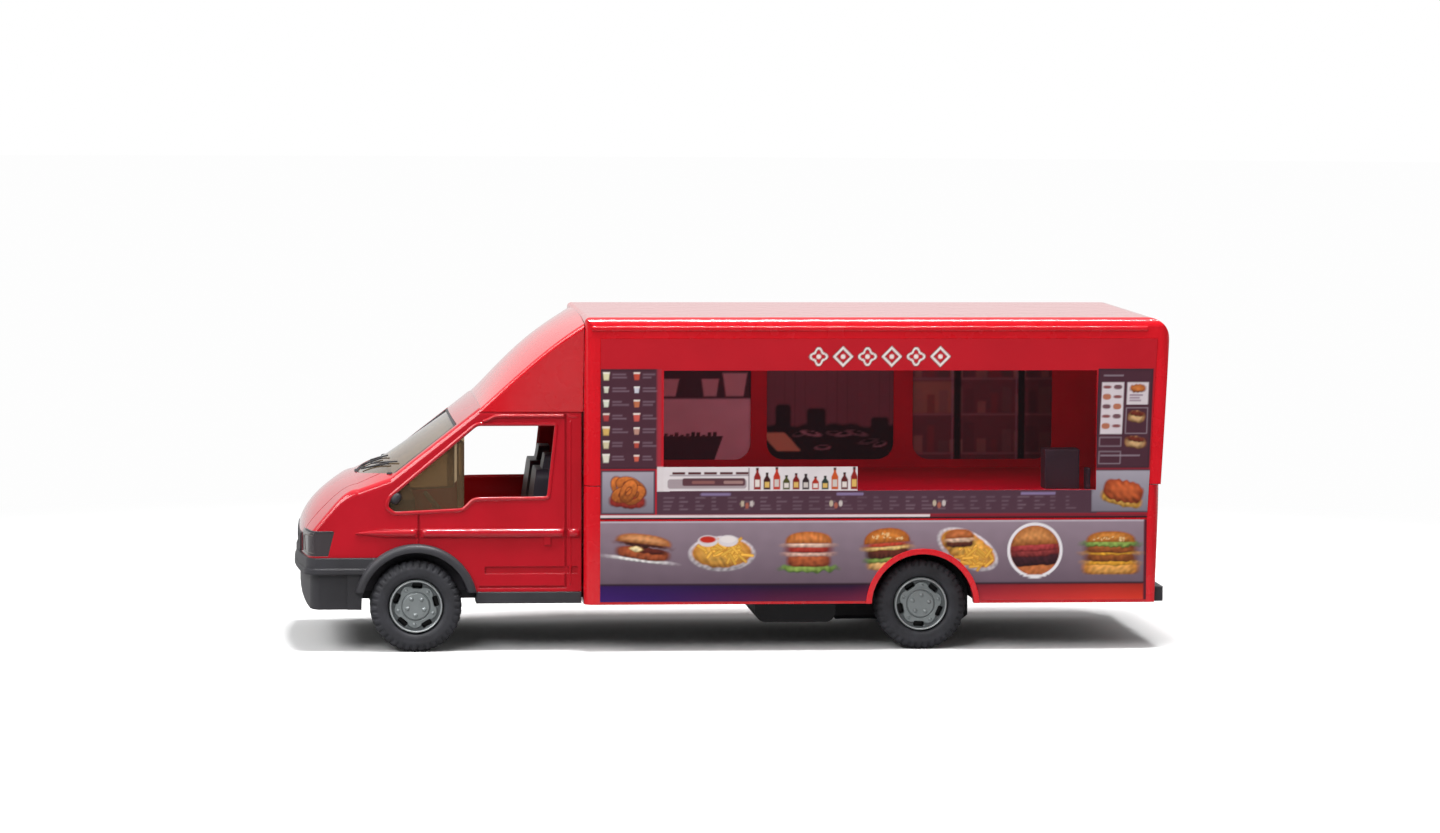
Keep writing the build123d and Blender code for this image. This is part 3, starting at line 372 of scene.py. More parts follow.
for dish, size in (("smallBun", 1.2), ("broadBun", 1.5)):
    bread = (0, -0.2, size, 0.7, 2.6, "#c8a070", "#8c5a38", 0.1, 0.6)
    foods[dish] = [bread, (0, 0.2, size * 0.9, 0.3, 3, "#6e2c20", "#4a1812", 0.08, 0.5)]


def laySeeds(ink, x, z, place, radii, count, seed):  # small pale ovals scattered on a bun's top
    chance = np.random.default_rng(seed)
    for n in range(count):
        across, up = chance.uniform(-0.8, 0.8), chance.uniform(0.35, 0.9)
        spot = (place[0] + across * radii[0], place[1] + up * radii[1] * math.sqrt(1 - across ** 2))
        u, v = turned(x, z, spot, chance.uniform(0, 180))
        fill(ink, lobe(u, v, 0.16, 0.09), "#e6c890", 0.8)


lowerPrint = {"stripeTop": 9.9, "middle": 14.9, "run": 82}
lowerPrint["places"] = [-13.7, -2, 10.9, 22.6, 33.6, 44.7, 56.1]


def lowerInk(x, z):
    # grey panel lighter at its top, dark line, and a stripe that runs from violet to orange red
    top, bottom = lowerFilm[1][2], lowerFilm[0][2]
    rise = ((z - bottom) / (top - bottom))[:, None]
    along = np.clip((x - panelFrontX) / lowerPrint["run"], 0, 1)[:, None]
    panel = linear("#554250") * (1 - rise) + linear("#8f7c88") * rise
    ink = panel * (1 + 0.06 * along) * (1 + 0.03 * mottle(x, z, 3, 5)[:, None])
    violet, dusk, ember = linear("#3a1568"), linear("#220d38"), linear("#bc2c1c")
    stripe = violet * np.clip(1 - along * 3.2, 0, 1) + ember * np.clip(along * 2.2 - 1, 0, 1)
    stripe = stripe + dusk * np.clip(np.minimum(along * 3.2, (1 - along) * 2.2), 0, 1)
    lift = np.clip((z - bottom) / (lowerPrint["stripeTop"] - bottom), 0, 1)[:, None]
    stripe = stripe * (1 - 0.35 * lift) + ember * 0.35 * (1 - lift) * np.clip(along * 2 - 0.2, 0, 1)
    amount = cover(z - lowerPrint["stripeTop"], 0.2)[:, None]
    ink = ink * (1 - amount) + stripe * amount
    fill(ink, np.abs(z - lowerPrint["stripeTop"] - 0.1) - 0.12, "#2c1824", soft=0.15)
    fill(ink, np.abs(z - top + 0.15) - 0.1, "#c9bfc8", 0.7, 0.15)
    fill(ink, lowerFilm[1][0] - 0.4 - x, "#571a28", soft=0.2)
    places, middle = lowerPrint["places"], lowerPrint["middle"]
    layFood(ink, x, z, (places[0], middle + 0.7), -7, foods["longRoll"], 1)
    layFood(ink, x, z, (places[1], middle - 0.3), 0, foods["plate"], 2)
    layFries(ink, x, z, (places[1] + 0.6, middle + 0.1), (1.7, 0.6), 44, 2, "#eab548")
    for away, dip in ((-2.1, "#c02a18"), (0.9, "#e6dcda")):
        fill(ink, lobe(x - places[1] - away, z - middle - 1.6, 1.5, 0.85), "#d8cfd2")
        fill(ink, lobe(x - places[1] - away, z - middle - 1.8, 1.2, 0.5), dip)
    layFood(ink, x, z, (places[2], middle + 0.1), 0, foods["tallBun"], 3)
    layFood(ink, x, z, (places[3], middle + 0.8), 4, foods["roundBun"], 4)
    laySeeds(ink, x, z, (places[3], middle + 1.2), (3, 1.6), 22, 4)
    layFood(ink, x, z, (places[4] + 1, middle + 0.2), -28, foods["plate"], 5)
    layFries(ink, x, z, (places[4] + 2, middle - 0.9), (1.2, 0.8), 32, 5, "#e6ae44")
    layFood(ink, x, z, (places[4] - 0.2, middle + 1.6), 3, foods["sideBun"], 6)
    for radius, tint in ((4.15, "#e4dee2"), (3.7, "#a04a34")):
        fill(ink, lobe(x - places[5], z - middle, radius, radius), tint)
    inside = cover(lobe(x - places[5], z - middle, 3.65, 3.65))
    plateInk = ink.copy()
    layFood(plateInk, x, z, (places[5], middle - 0.2), 3, foods["platedBun"], 7)
    ink += (plateInk - ink) * inside[:, None]
    layFood(ink, x, z, (places[6], middle), 0, foods["doubleBun"], 8)
    laySeeds(ink, x, z, (places[6], middle + 1), (3.2, 1.1), 16, 9)
    return ink


def layCup(ink, x, z, place, height, main, rim):  # a beaker: sides lean in towards the foot, pale rim
    u, v = x - place[0], z - place[1]
    half = 0.36 * height * (1 + 0.35 * v / height)
    d = np.maximum(np.abs(u) - half, np.abs(v) - height / 2)
    fill(ink, d, linear(main))
    fill(ink, np.maximum(d, height * 0.28 - v), linear(rim), 0.9)


def layBoard(ink, x, z, x0, x1, z0, z1):  # dark menu board with a soft lighter middle
    fill(ink, slab(x, z, x0, x1, z0, z1, 0.15), "#34222c")
    fill(ink, slab(x, z, x0 + 0.2, x1 - 0.2, z0 + 0.2, z1 - 0.2, 0.15), "#4b2a36", soft=0.4)


def layBars(ink, x, z, x0, x1, rows, lengths, colour, amount):  # plain bars in rows, nothing to read
    for row, length in zip(rows, lengths):
        fill(ink, slab(x, z, x0, x0 + (x1 - x0) * length, row - 0.12, row + 0.12), colour, amount)


menu = {"cupRows": 7, "cupPitch": 2.02, "cupTop": 40.9, "cupColumns": (-19.2, -14.7), "top": 41.95}
menu.update({"ornaments": 6, "ornamentPitch": 3.62, "ornamentFirst": 12.2, "ornamentZ": 43.75})
menu.update({"rearFront": 53.95, "rearEnd": 62.25, "rearLow": 27.1, "rearLean": 0.035, "lineEnd": 28.95})
menu["cups"] = [
    "#d8cfa8", "#c9c6b4", "#cfd0c0", "#a83c3c", "#d0a860", "#cdbf9c", "#d6d2c2",
    "#c04a38", "#c4c2cc", "#b86a48", "#c8564c", "#b88a7c", "#b4483a", "#c65a48",
]
menu["rings"] = ((-1.2, 0.7), (1.1, 0.6), (0, 1.2), (-0.7, -0.3), (1, -0.4), (0.1, 0.2))
menu["cards"] = ((54.6, 57.9, 32.2, 39.9), (58.4, 61.6, 36.6, 39.9))
menu["frames"] = ((54.6, 57.8, 30.4, 31.7), (54.6, 57.8, 27.8, 29.6), (58.4, 61.6, 32.3, 36.1))


def layDrinks(ink, x, z, chance):  # two columns of cups, each with two bars of random length beside it
    for n, tint in enumerate(menu["cups"]):
        column, row = n // menu["cupRows"], n % menu["cupRows"]
        across, up = menu["cupColumns"][column], menu["cupTop"] - menu["cupPitch"] * row
        layCup(ink, x, z, (across, up), chance.uniform(0.85, 1.3), tint, "#e4dcd4")
        lengths = chance.uniform(0.5, 1, 2)
        layBars(ink, x, z, across + 0.9, across + 3.4, [up + 0.25, up - 0.2], lengths, "#8a7280", 0.5)


def layStrip(ink, x, z, chance):  # the long dark strip: blocks of bars, three headings, three clusters
    front = window["front"]
    fill(ink, slab(x, z, front - 1, 53.9, 20.4, 23.95), "#4f3340")
    for n in range(26):
        x0 = front + 2.4 * n
        lengths = chance.uniform(0.3, 1, 4)
        amount = 0.45 * chance.uniform(0.4, 1)
        layBars(ink, x, z, x0, x0 + 1.7, [22.9, 22.3, 21.7, 21.2], lengths, "#86707c", amount)
    for spot, long in ((front + 5.5, 4.4), (15, 4), (42.5, 5.2)):
        fill(ink, slab(x, z, spot, spot + long, 23.2, 23.6, 0.1), "#9684b0", 0.65)
    for spot in (1, 14.2, 29.6):
        for n, tint in enumerate(("#c9b8a0", "#b0604c", "#d0c4c0")):
            fill(ink, lobe(x - spot - 0.7 * n, z - 22 + 0.3 * (n % 2), 0.28, 0.45), tint, 0.8)


def layRings(ink, x, z, place):  # onion rings heaped on a tray: turned ovals with a lit upper edge
    layFood(ink, x, z, (place[0], place[1] - 0.2), -4, foods["tray"], 14)
    for n, (cu, cv) in enumerate(menu["rings"]):
        u, v = turned(x, z, (place[0] + cu, place[1] + cv), 25 * n - 60)
        ringDistance = np.abs(lobe(u, v, 1.25, 0.8)) - 0.3
        shade = np.clip(0.95 + 0.35 * (z - place[1] - cv) + 0.2 * mottle(x, z, 0.8, 50 + n), 0.45, 1.5)
        fill(ink, ringDistance - 0.12, "#6c2c14", 0.8)
        fill(ink, ringDistance, linear("#b8642a") * shade[:, None])


def layRearBoard(ink, x, z):  # leaning board: two pale cards, three frames, small foods and bars
    u = x - (z - 41.4) * menu["rearLean"]
    layBoard(ink, u, z, menu["rearFront"], menu["rearEnd"], menu["rearLow"], menu["top"])
    for card in menu["cards"]:
        fill(ink, slab(u, z, *card), "#cfc3c8")
    for n in range(10):
        across, up = 55.4 + 1.6 * (n % 2), 39.2 - 1.45 * (n // 2)
        tint = ("#7a2a28", "#5a2430", "#a85a30")[n % 3]
        fill(ink, lobe(u - across, z - up, 0.62, 0.24 + 0.1 * (n % 3), 2.5), tint, 0.9)
    layFood(ink, u, z, (60, 39), 0, foods["patty"], 17)
    layBars(ink, u, z, 58.8, 61, [38, 37.6, 37.2], [0.9, 0.7, 0.8], "#6c4660", 0.7)
    for frameBox in menu["frames"]:
        fill(ink, np.abs(slab(u, z, *frameBox)) - 0.08, "#9a8a94", 0.6)
    layFood(ink, u, z, (60, 35), -8, foods["smallBun"], 19)
    layFood(ink, u, z, (60, 31.2), -8, foods["broadBun"], 19)
    layBars(ink, u, z, 54.8, 61.4, [40.9, 33, 29], [0.45, 0, 0.9], "#a898a4", 0.5)


def layOrnaments(ink, x, z):  # four-petalled and square outlines in turn, each with a dot
    for n in range(menu["ornaments"]):
        u, v = x - menu["ornamentFirst"] - menu["ornamentPitch"] * n, z - menu["ornamentZ"]
        petal = np.hypot(u, v) - (1 + 0.22 * np.cos(4 * np.arctan2(v, u)))
        diamond = (np.abs(u) + np.abs(v) - 1.3) / math.sqrt(2)
        shape = diamond if n % 2 else petal
        fill(ink, np.abs(shape) - 0.27, "#5c1420", soft=0.12)
        fill(ink, np.abs(shape) - 0.17, "#e8dcd8", soft=0.12)
        fill(ink, np.hypot(u, v) - 0.35, "#e8dcd8", soft=0.12)


def upperInk(x, z):  # red ground with the drinks board, long strip, two dishes, rear board and ornaments
    front = window["front"]
    ink = ground(x, z, "#bb1423", 0.025, 9, 11)
    layBoard(ink, x, z, panelFrontX - 1, front - 0.9, 27.15, menu["top"])
    chance = np.random.default_rng(21)
    layDrinks(ink, x, z, chance)
    layStrip(ink, x, z, chance)
    for x0, x1, atRear in ((panelFrontX, front - 1.2, 0), (53, panelRearX - 0.4, 1)):
        d = slab(x - atRear * (z - 24) * 0.05, z, x0, x1, 20.45, 27)
        fill(ink, d, "#4c3340")
        fade = ((z - 20.5) / 6.5)[:, None]
        lay(ink, cover(d + 0.25), linear("#76707c") * (1 - fade) + linear("#a29ba6") * fade)
        middle = (x0 + x1) / 2 + atRear * 0.2
        if atRear:
            layFood(ink, x, z, (middle, 23.7), -14, foods["wrap"], 13)
        else:
            layRings(ink, x, z, (middle, 23.7))
    fill(ink, slab(x, z, panelFrontX - 1, menu["lineEnd"], 19.98, 20.33), "#d9cfd2")
    fill(ink, slab(x, z, menu["lineEnd"], 61.4, 19.9, 20.33), "#5e2431", 0.8)
    fill(ink, z - 19.95, "#30141c", soft=0.1)
    layRearBoard(ink, x, z)
    layOrnaments(ink, x, z)
    fill(ink, slab(x, z, front - 1.1, front - 0.35, 27.6, 41.9), "#943340", 0.7, 0.2)
    fill(ink, slab(x, z, front - 0.95, front + 1, 23.85, 27.5), "#d6ccce")
    return ink


sauce = {"firstBottle": 13.9, "bottlePitch": 1.44}
sauce["trays"] = [  # x and z from the strip's lower front corner, corner radius, colour
    (0.6, 12.3, 0.35, 1.75, 0.4, "#a39398"), (2.8, 12.1, 0.75, 1.9, 0.3, "#5c3840"),
    (4.2, 7.6, 1.05, 1.5, 0.2, "#8c5a58"), (8.9, 11.8, 1.05, 1.5, 0.2, "#a07c78"),
]
sauce["bottles"] = [  # height and colour
    (3.2, "#8c1c18"), (2.5, "#3c1418"), (3.3, "#b8301c"), (2.1, "#4a4a20"), (2.4, "#7a1414"),
    (2.3, "#302024"), (1.9, "#a82818"), (2, "#2c3a34"), (3.2, "#c05020"), (2.5, "#5c1a1c"),
    (3.3, "#8c2018"),
]


def sauceInk(x, z):  # pale strip: serving trays at the front, a row of sauce bottles behind
    ink = ground(x, z, "#d9d0d2", 0.02, 4, 3)
    low, front = sauceFilm[0][2], sauceFilm[0][0]
    for n in range(5):  # serving dishes in a row, dark mouths over pale rims
        spot = front + 1.3 + 2.35 * n
        fill(ink, slab(x, z, spot, spot + 1.9, low + 2.45, low + 2.8, 0.1), "#4c141c")
        fill(ink, slab(x, z, spot - 0.4, spot + 2, low + 2.2, low + 2.4, 0.1), "#8c7c84", 0.8)
    for x0, x1, z0, z1, corner, tint in sauce["trays"]:
        fill(ink, slab(x, z, front + x0, front + x1, low + z0, low + z1, corner), tint)
    fill(ink, slab(x, z, front + 12.55, front + 12.75, low + 0.1, low + 3.4), "#5c4048", 0.7)
    for n, (tall, glassTint) in enumerate(sauce["bottles"]):
        u, v = x - front - sauce["firstBottle"] - sauce["bottlePitch"] * n, z - low - 0.2
        shoulder = 0.5 - 0.32 * (v - tall * 0.58) / (tall * 0.22)
        half = np.where(v < tall * 0.58, 0.5, np.where(v < tall * 0.8, shoulder, 0.18))
        d = np.maximum(np.abs(u) - half, np.maximum(-v, v - tall))
        fill(ink, d, glassTint)
        fill(ink, np.maximum(d, tall * 0.9 - v), "#2c1c1c")
        label = ["#ddd2cc", "#d8b060", "#c9beb8"][n % 3]
        fill(ink, slab(u, v, -0.34, 0.34, tall * 0.12, tall * 0.45), label)
    return ink


filmWall = 0.09  # thickness of every printed film


def printedSheet(name, xs, zs, y, paint, side, replaced, dropCell=None, snap=None, shift=None,
    finish=vinyl):
    # a thin sheet on an upright plane, with grid lines xs and zs, in place of the replaced node;
    # cells that dropCell marks are left out; shift moves the grid before it is painted, snap after
    x, z = (g.ravel() for g in np.meshgrid(xs, zs, indexing="ij"))
    faces = gridFaces(len(xs), len(zs))
    if shift is not None:
        x = shift(x, z)
    if dropCell is not None:
        faces = faces[~dropCell(x[faces].mean(1), z[faces].mean(1))]
    ink = paint(x, z)
    if snap is not None:
        x, z = snap(x, z)
    points = np.stack([x, np.full_like(x, y), z], 1)
    if side > 0:
        faces = faces[:, ::-1]
    settings = {"smooth": False, "ink": np.clip(ink, 0, 1), "replaced": [replaced]}
    piece = makePiece(name, points, faces, finish, "body", "printed_film", **settings)
    thickness = piece.modifiers.new("filmThickness", "SOLIDIFY")
    thickness.thickness, thickness.offset = filmWall * mm, -1
    return piece


def gridLines(spans):  # spans of (start, end, step), joined without doubled lines
    lines = [np.linspace(a, b, max(2, int(round((b - a) / s)) + 1)) for a, b, s in spans]
    return np.unique(np.round(np.concatenate(lines), 4))


archCut = 8.45  # just inside the rim round the rear arch


def archSnap(x, z):  # points inside the arch rim's edge move out to it along the radius
    dx, dz = x - axleX["rear"], z - tyreRadius
    r = np.hypot(dx, dz)
    factor = np.where(r < archCut, archCut / np.maximum(r, 1e-6), 1)
    return axleX["rear"] + dx * factor, np.maximum(tyreRadius + dz * factor, lowerFilm[0][2])


lowX = gridLines([(lowerFilm[0][0], lowerFilm[1][0], 0.135)])
lowZ = gridLines([(lowerFilm[0][2], 11.4, 0.28), (11.4, lowerFilm[1][2], 0.135)])
filmY = upperFilm[0][1]


def inArch(x, z):  # cells whose middle is nearer to the axle than the cut
    return np.hypot(x - axleX["rear"], z - tyreRadius) < archCut - 0.05


def mirroredLowerInk(x, z):  # the lower print turned end for end, for the right side
    return lowerInk(lowerFilm[0][0] + lowerFilm[1][0] - x, z)


for side, word, paint in ((-1, "left", lowerInk), (1, "right", mirroredLowerInk)):
    film = "lower_film_" + word
    printedSheet("lowerLabel_" + word, lowX, lowZ, -side * filmY, paint, side, film, inArch, archSnap)

rearEdge = {"x": 61.485, "foot": 19.75, "lean": 0.0488}  # where the upper film ends, and its lean by height


def rearLean(x, z):  # behind the window x is stretched evenly, up to the rear edge
    edge = rearEdge["x"] + (z - rearEdge["foot"]) * rearEdge["lean"]
    behind = window["rear"] + (x - window["rear"]) * (edge - window["rear"]) / (panelRearX - window["rear"])
    return np.where(x > window["rear"], behind, x)


def inWindow(x, z):  # cells between the window's four edges
    inside = (x > window["front"]) & (x < window["rear"])
    return inside & (z > window["low"]) & (z < window["high"])


upX = gridLines([(panelFrontX, window["front"], 0.13), (window["front"], 11, 0.22), (11, 32, 0.13),
    (32, window["rear"], 0.26), (window["rear"], panelRearX, 0.13)])
upZ = gridLines([(upperFilm[0][2], window["low"], 0.14), (window["low"], window["high"], 0.14),
    (window["high"], 46.4, 0.15)])
film = "upper_film_left"
printedSheet("upperLabel_left", upX, upZ, filmY, upperInk, -1, film, inWindow, shift=rearLean)
film = "upper_film_right"
printedSheet("upperLabel_right", upX[::2], upZ[::2], -filmY, upperInk, 1, film, shift=rearLean)
sauceX, sauceZ = (gridLines([(sauceFilm[0][k], sauceFilm[1][k], 0.1)]) for k in (0, 2))
printedSheet("sauceLabel", sauceX, sauceZ, filmY, sauceInk, -1, "sauce_film")
print("printed films made")


# light: painted light, a brightening of every kitchen picture beyond its printed colour
kitchen = {"low": 25, "high": 46.7, "corner": 2.6, "light": 1.5}
kitchen["bays"] = [(-19.05, 6.3), (8.8, 28.7), (31.7, 53.69)]
kitchen["bowls"] = [  # middle, half width, foot and rim
    (-12.5, 2, 34.9, 37.4), (-7, 2.1, 34.9, 37.6), (-0.05, 1.35, 34.9, 37.6), (3.8, 1.9, 34.9, 38.5),
]
kitchen["goods"] = ["#a08478", "#84464a", "#786464", "#b0a090", "#5c4048"]


def kitchenInk(x, z):  # three pictures side by side, parted by their bay; at the end all of it is brightened as painted light, brighter than the print itself, for more light on the kitchen wall
    bay = np.searchsorted([7.5, 30.2], x)
    ink = ground(x, z, "#d2b8c2", 0.04, 6, 31)
    # first bay: dark shelf with pale bowls, plain wall, worktop with jars
    first, second, third = bay == 0, bay == 1, bay == 2
    fill(ink, 34.5 - z, "#4a303c", first, 0.3)
    for spot, half, low, high in kitchen["bowls"]:
        wide = half * (0.72 + 0.28 * np.clip((z - low) / (high - low), 0, 1))
        d = np.maximum(np.abs(x - spot) - wide, np.maximum(low - z, z - high))
        fill(ink, d, "#caa8ae", first, 0.25)
    fill(ink, slab(x - (z - 27) * 0.35, z, -19, 1.4, 24, 28.7), "#46303c", first)
    chance = np.random.default_rng(41)
    for n in range(13):
        spot, tall = -9.5 + 0.85 * n, chance.uniform(0.2, 0.9)
        tint = linear("#503440") * chance.uniform(0.6, 1.6)
        fill(ink, slab(x, z, spot - 0.3, spot + 0.3, 28.5, 28.5 + tall, 0.1), tint, first)
    # second bay: panelled wall, dark range with pans, a pale tray at its left
    lay(ink, second, "#76505a")
    fill(ink, np.abs(np.sin(x * 1.9)) - 0.10, "#3e2830", second * 0.25, 0.2)
    fill(ink, z - 30.4 - 0.3 * mottle(x, 0 * x, 5, 7), "#2c2026", second, 0.5)
    for spot, half, low, high in ((11.4, 1.2, 29.5, 33.6), (16.6, 1.5, 29.5, 33), (26.6, 1.4, 29.5, 31.6)):
        fill(ink, slab(x, z, spot - half, spot + half, low, high, 0.6), "#2a1e26", second, 0.4)
    for n in range(8):
        spot = (14 + 1.8 * n, 26.6 + chance.uniform(0, 2.8))
        u, v = turned(x, z, spot, chance.uniform(-15, 15))
        d = lobe(u, v, chance.uniform(1, 1.9), 0.4)
        fill(ink, d, linear("#806870") * chance.uniform(0.4, 1.5), second)
        fill(ink, lobe(u, v - 0.12, 0.8, 0.2), "#1c1418", second)
    fill(ink, slab(x + (z - 27.7) * 0.9, z, 9.2, 13, 26.3, 29.2, 0.3), "#c8a07c", second, 0.25)
    # third bay: glass-door cooler, packed goods on two shelves behind dark posts
    lay(ink, third, "#6c474e")
    fill(ink, slab(x, z, 31.7, 38.2, 32.2, 37.2, 0.4), "#9c7c68", third * 0.8, 0.5)
    for shelf, tallest in ((25.9, 4.8), (32, 4.2), (37.6, 3)):
        fill(ink, np.abs(z - shelf) - 0.14, "#a08488", third * 0.6, 0.3)
        for n in range(11):
            spot, tall, wide = 32.6 + 2 * n, tallest * chance.uniform(0.35, 1), chance.uniform(0.5, 1)
            tint = linear(kitchen["goods"][n % 5]) * chance.uniform(0.5, 1.1)
            d = slab(x, z, spot - wide, spot + wide, shelf + 0.2, shelf + 0.2 + tall, 0.15)
            fill(ink, d, tint, third * 0.6, 0.3)
    for post in (38.8, 48.9):
        fill(ink, np.abs(x - post) - 0.55, "#22161c", third, 0.2)
        fill(ink, np.abs(x - post + 0.8) - 0.14, "#94808c", third * 0.8, 0.2)
    fill(ink, 50 - x, "#40242c", third * 0.5, 1)
    # painted light: the whole print is brightened
    return ink * kitchen["light"]


def roundedFoot(x, z):  # cells outside a bay's rounded lower corners
    out = np.zeros(len(x), bool)
    r = kitchen["corner"]
    for x0, x1 in kitchen["bays"]:
        dx = np.maximum(np.maximum(x0 + r - x, x - x1 + r), 0)
        dz = np.maximum(kitchen["low"] + r - z, 0)
        out |= (x > x0) & (x < x1) & (np.hypot(dx, dz) > r)
    inBay = np.any([(x > x0) & (x < x1) for x0, x1 in kitchen["bays"]], axis=0)
    return out | ~inBay


bayX = gridLines([(x0, x1, 0.2) for x0, x1 in kitchen["bays"]])
bayZ = gridLines([(kitchen["low"], kitchen["high"], 0.2)])
film, y = "kitchen_films", kitchenFilm[0][1]
printedSheet("kitchenPictures", bayX, bayZ, y, kitchenInk, -1, film, roundedFoot, finish=card)
print("kitchen pictures made")

# tyres: a closed profile carried round the axle; lugs cut into the shoulder and tread by a wave of the angle
tyre = {"lugs": 38, "lugDepth": 0.15, "aroundPerLug": 12, "profileSteps": 64, "tread": 6.68, "radius": 6.75}
tyre.update({"shoulder": 5.75, "groove": 0.75, "grooveWidth": 0.16, "ribs": (4.75, 5.55), "ribRise": 0.05})
# across and outward from the axle, for the right half of the section
halfProfile = np.array([(0, 3.95), (1.55, 3.95), (1.75, 4.14), (2.2, 4.2), (2.36, 4.6), (2.40, 5.2),
    (2.34, 5.9), (2.16, 6.36), (1.86, 6.62), (1.4, 6.72), (0, 6.75)])


def bell(value, middle, width):  # exp(-((value - middle)/width)^2): 1 at the middle, fading on both sides
    return np.exp(-((value - middle) / width) ** 2)


def tyrePoints(middleY, x):
    # x + r cos(angle), across, r sin(angle): r and across follow the section, less the lugs' grooves
    loop = np.concatenate([halfProfile, halfProfile[-2:0:-1] * (-1, 1)])
    closed = np.concatenate([loop, loop[:1]])
    run = np.concatenate([[0], np.cumsum(np.hypot(*np.diff(closed, axis=0).T))])
    t = np.linspace(0, run[-1], tyre["profileSteps"] + 1)[:-1]
    y, r = np.interp(t, run, closed[:, 0]), np.interp(t, run, closed[:, 1])
    y, r = (0.5 * v + 0.25 * (np.roll(v, 1) + np.roll(v, -1)) for v in (y, r))
    r = np.where(r > tyre["tread"], tyre["radius"], r)
    steps = tyre["lugs"] * tyre["aroundPerLug"]
    angle = np.arange(steps)[:, None] / steps * 2 * pi
    wave = np.cos(tyre["lugs"] * angle + 2.2 * np.sign(y) * (np.abs(y) < 0.7) + 0.8 * y)
    groove = np.clip(0.5 - 1.6 * (wave + 0.35), 0, 1)
    zone = np.clip((r - tyre["shoulder"]) / 0.3, 0, 1)
    middleGroove = bell(np.abs(y), tyre["groove"], tyre["grooveWidth"]) * (r > 6.5)
    depth = np.maximum(groove * zone * 0.9, middleGroove * 0.8) * np.clip((r - 5.6) / 0.5, 0, 1)
    radius = r - tyre["lugDepth"] * depth
    across = y * (1 - 0.055 * groove * zone * (np.abs(y) > 1.9))
    ribs = sum(tyre["ribRise"] * bell(r, rib, 0.09) for rib in tyre["ribs"])
    across = across + np.sign(y) * (ribs - 0.02) * (np.abs(y) > 2.2)
    points = [x + radius * np.cos(angle), middleY + across + 0 * angle, tyreRadius + radius * np.sin(angle)]
    return np.stack(points, -1).reshape(-1, 3)


for end in ("front", "rear"):
    for side, word in sides:
        low, high = nodeBox(end + "_tyre_" + word)
        points = tyrePoints((low[1] + high[1]) / 2, axleX[end])
        faces = gridFaces(tyre["lugs"] * tyre["aroundPerLug"], tyre["profileSteps"], True, True)
        settings = {"replaced": [end + "_tyre_" + word]}
        makePiece(end + "Tyre_" + word, points, faces, softPvc, end + "_wheels", "tyre_rubber", **settings)
print("tyres made")

# wheel hubs: a height over the radius and angle; lip, scalloped plate, centre disc, domes, slots; the ink
# paints shade into the hollows and a highlight on the lip
hub = {"radius": 3.95, "lip": 3.62, "plate": 2.98, "disc": 1.95, "nutRing": 1.3, "bumpRing": 2.72}
hub.update({"slotRing": 3.02, "groove": 2.08, "around": 300, "rows": 96, "turn": {"front": 86, "rear": 122}})


def step01(value, soft):  # 0 to 1 over the soft width about zero
    t = np.clip(value / soft + 0.5, 0, 1)
    return t * t * (3 - 2 * t)


def hubFace(r, angle):  # height above the rim's face, and ink with painted shade in the hollows and a painted highlight on the lip; angle counts from a slot
    wave = np.cos(5 * angle)
    height = -0.75 + 0.75 * step01(r - hub["lip"], 0.10) - 0.35 * step01(r - 3.88, 0.14)
    plate = step01(hub["plate"] - 0.26 * wave - r, 0.12)
    height += plate * (0.22 + 0.12 * np.clip((2.9 - r) / 1.2, 0, 1))
    groove = bell(r, hub["groove"], 0.09)
    height += 0.16 * step01(hub["disc"] - r, 0.10) - 0.10 * groove
    fifth = np.mod(angle, 2 * pi / 5)
    for ringRadius, size, rise in ((hub["nutRing"], 0.30, 0.26), (hub["bumpRing"], 0.25, 0.2)):
        away = np.hypot(r * np.cos(fifth - pi / 5) - ringRadius, r * np.sin(fifth - pi / 5)) / size
        height += rise * np.sqrt(np.clip(1 - away ** 2, 0, 1))
    near = np.mod(angle + pi / 5, 2 * pi / 5) - pi / 5
    inner, outer = hub["slotRing"] - 0.38, hub["slotRing"] + 0.38
    slot = slab(r * np.sin(near), r * np.cos(near), -0.76, 0.76, inner, outer, 0.22)
    hole = step01(-slot, 0.08)
    height -= 1.1 * hole
    ink = np.tile(linear("#8f9596"), (len(r), 1))
    # painted highlight: the top of the lip is made lighter, as if it caught the light
    lay(ink, step01(height + 0.12, 0.2) * step01(r - 3.5, 0.1), "#b4b8b9")
    # painted shade: the recessed channel between the plate and the lip is darkened
    lay(ink, (1 - plate) * step01(hub["lip"] - r, 0.1) * 0.75, "#54585a")
    # painted shade: the groove round the centre disc is darkened
    lay(ink, groove * 0.5, "#4c5052")
    # painted shade: the slots are inked near black for the dark inside of each hole
    lay(ink, hole, "#08080a")
    return height, ink


def hubPoints(x, outerY, innerY, side, turn):
    # rows: face from the centre to the rim, the rim's side, then the back to the centre
    rim, rows = hub["radius"], hub["rows"]
    r = np.concatenate([np.linspace(0.02, rim - 0.01, rows), [rim, rim, rim - 0.05, 2, 0.02]])
    angle = np.arange(hub["around"]) / hub["around"] * 2 * pi
    rr, aa = (g.ravel() for g in np.meshgrid(r, angle, indexing="ij"))
    height, ink = hubFace(rr, aa)
    row = np.repeat(np.arange(len(r)), hub["around"])
    y = outerY + np.where(row < rows, height, np.where(row == rows, -0.35, innerY - outerY))
    way = -side * (aa + math.radians(turn))
    return np.stack([x + rr * np.cos(way), side * y, tyreRadius + rr * np.sin(way)], 1), ink


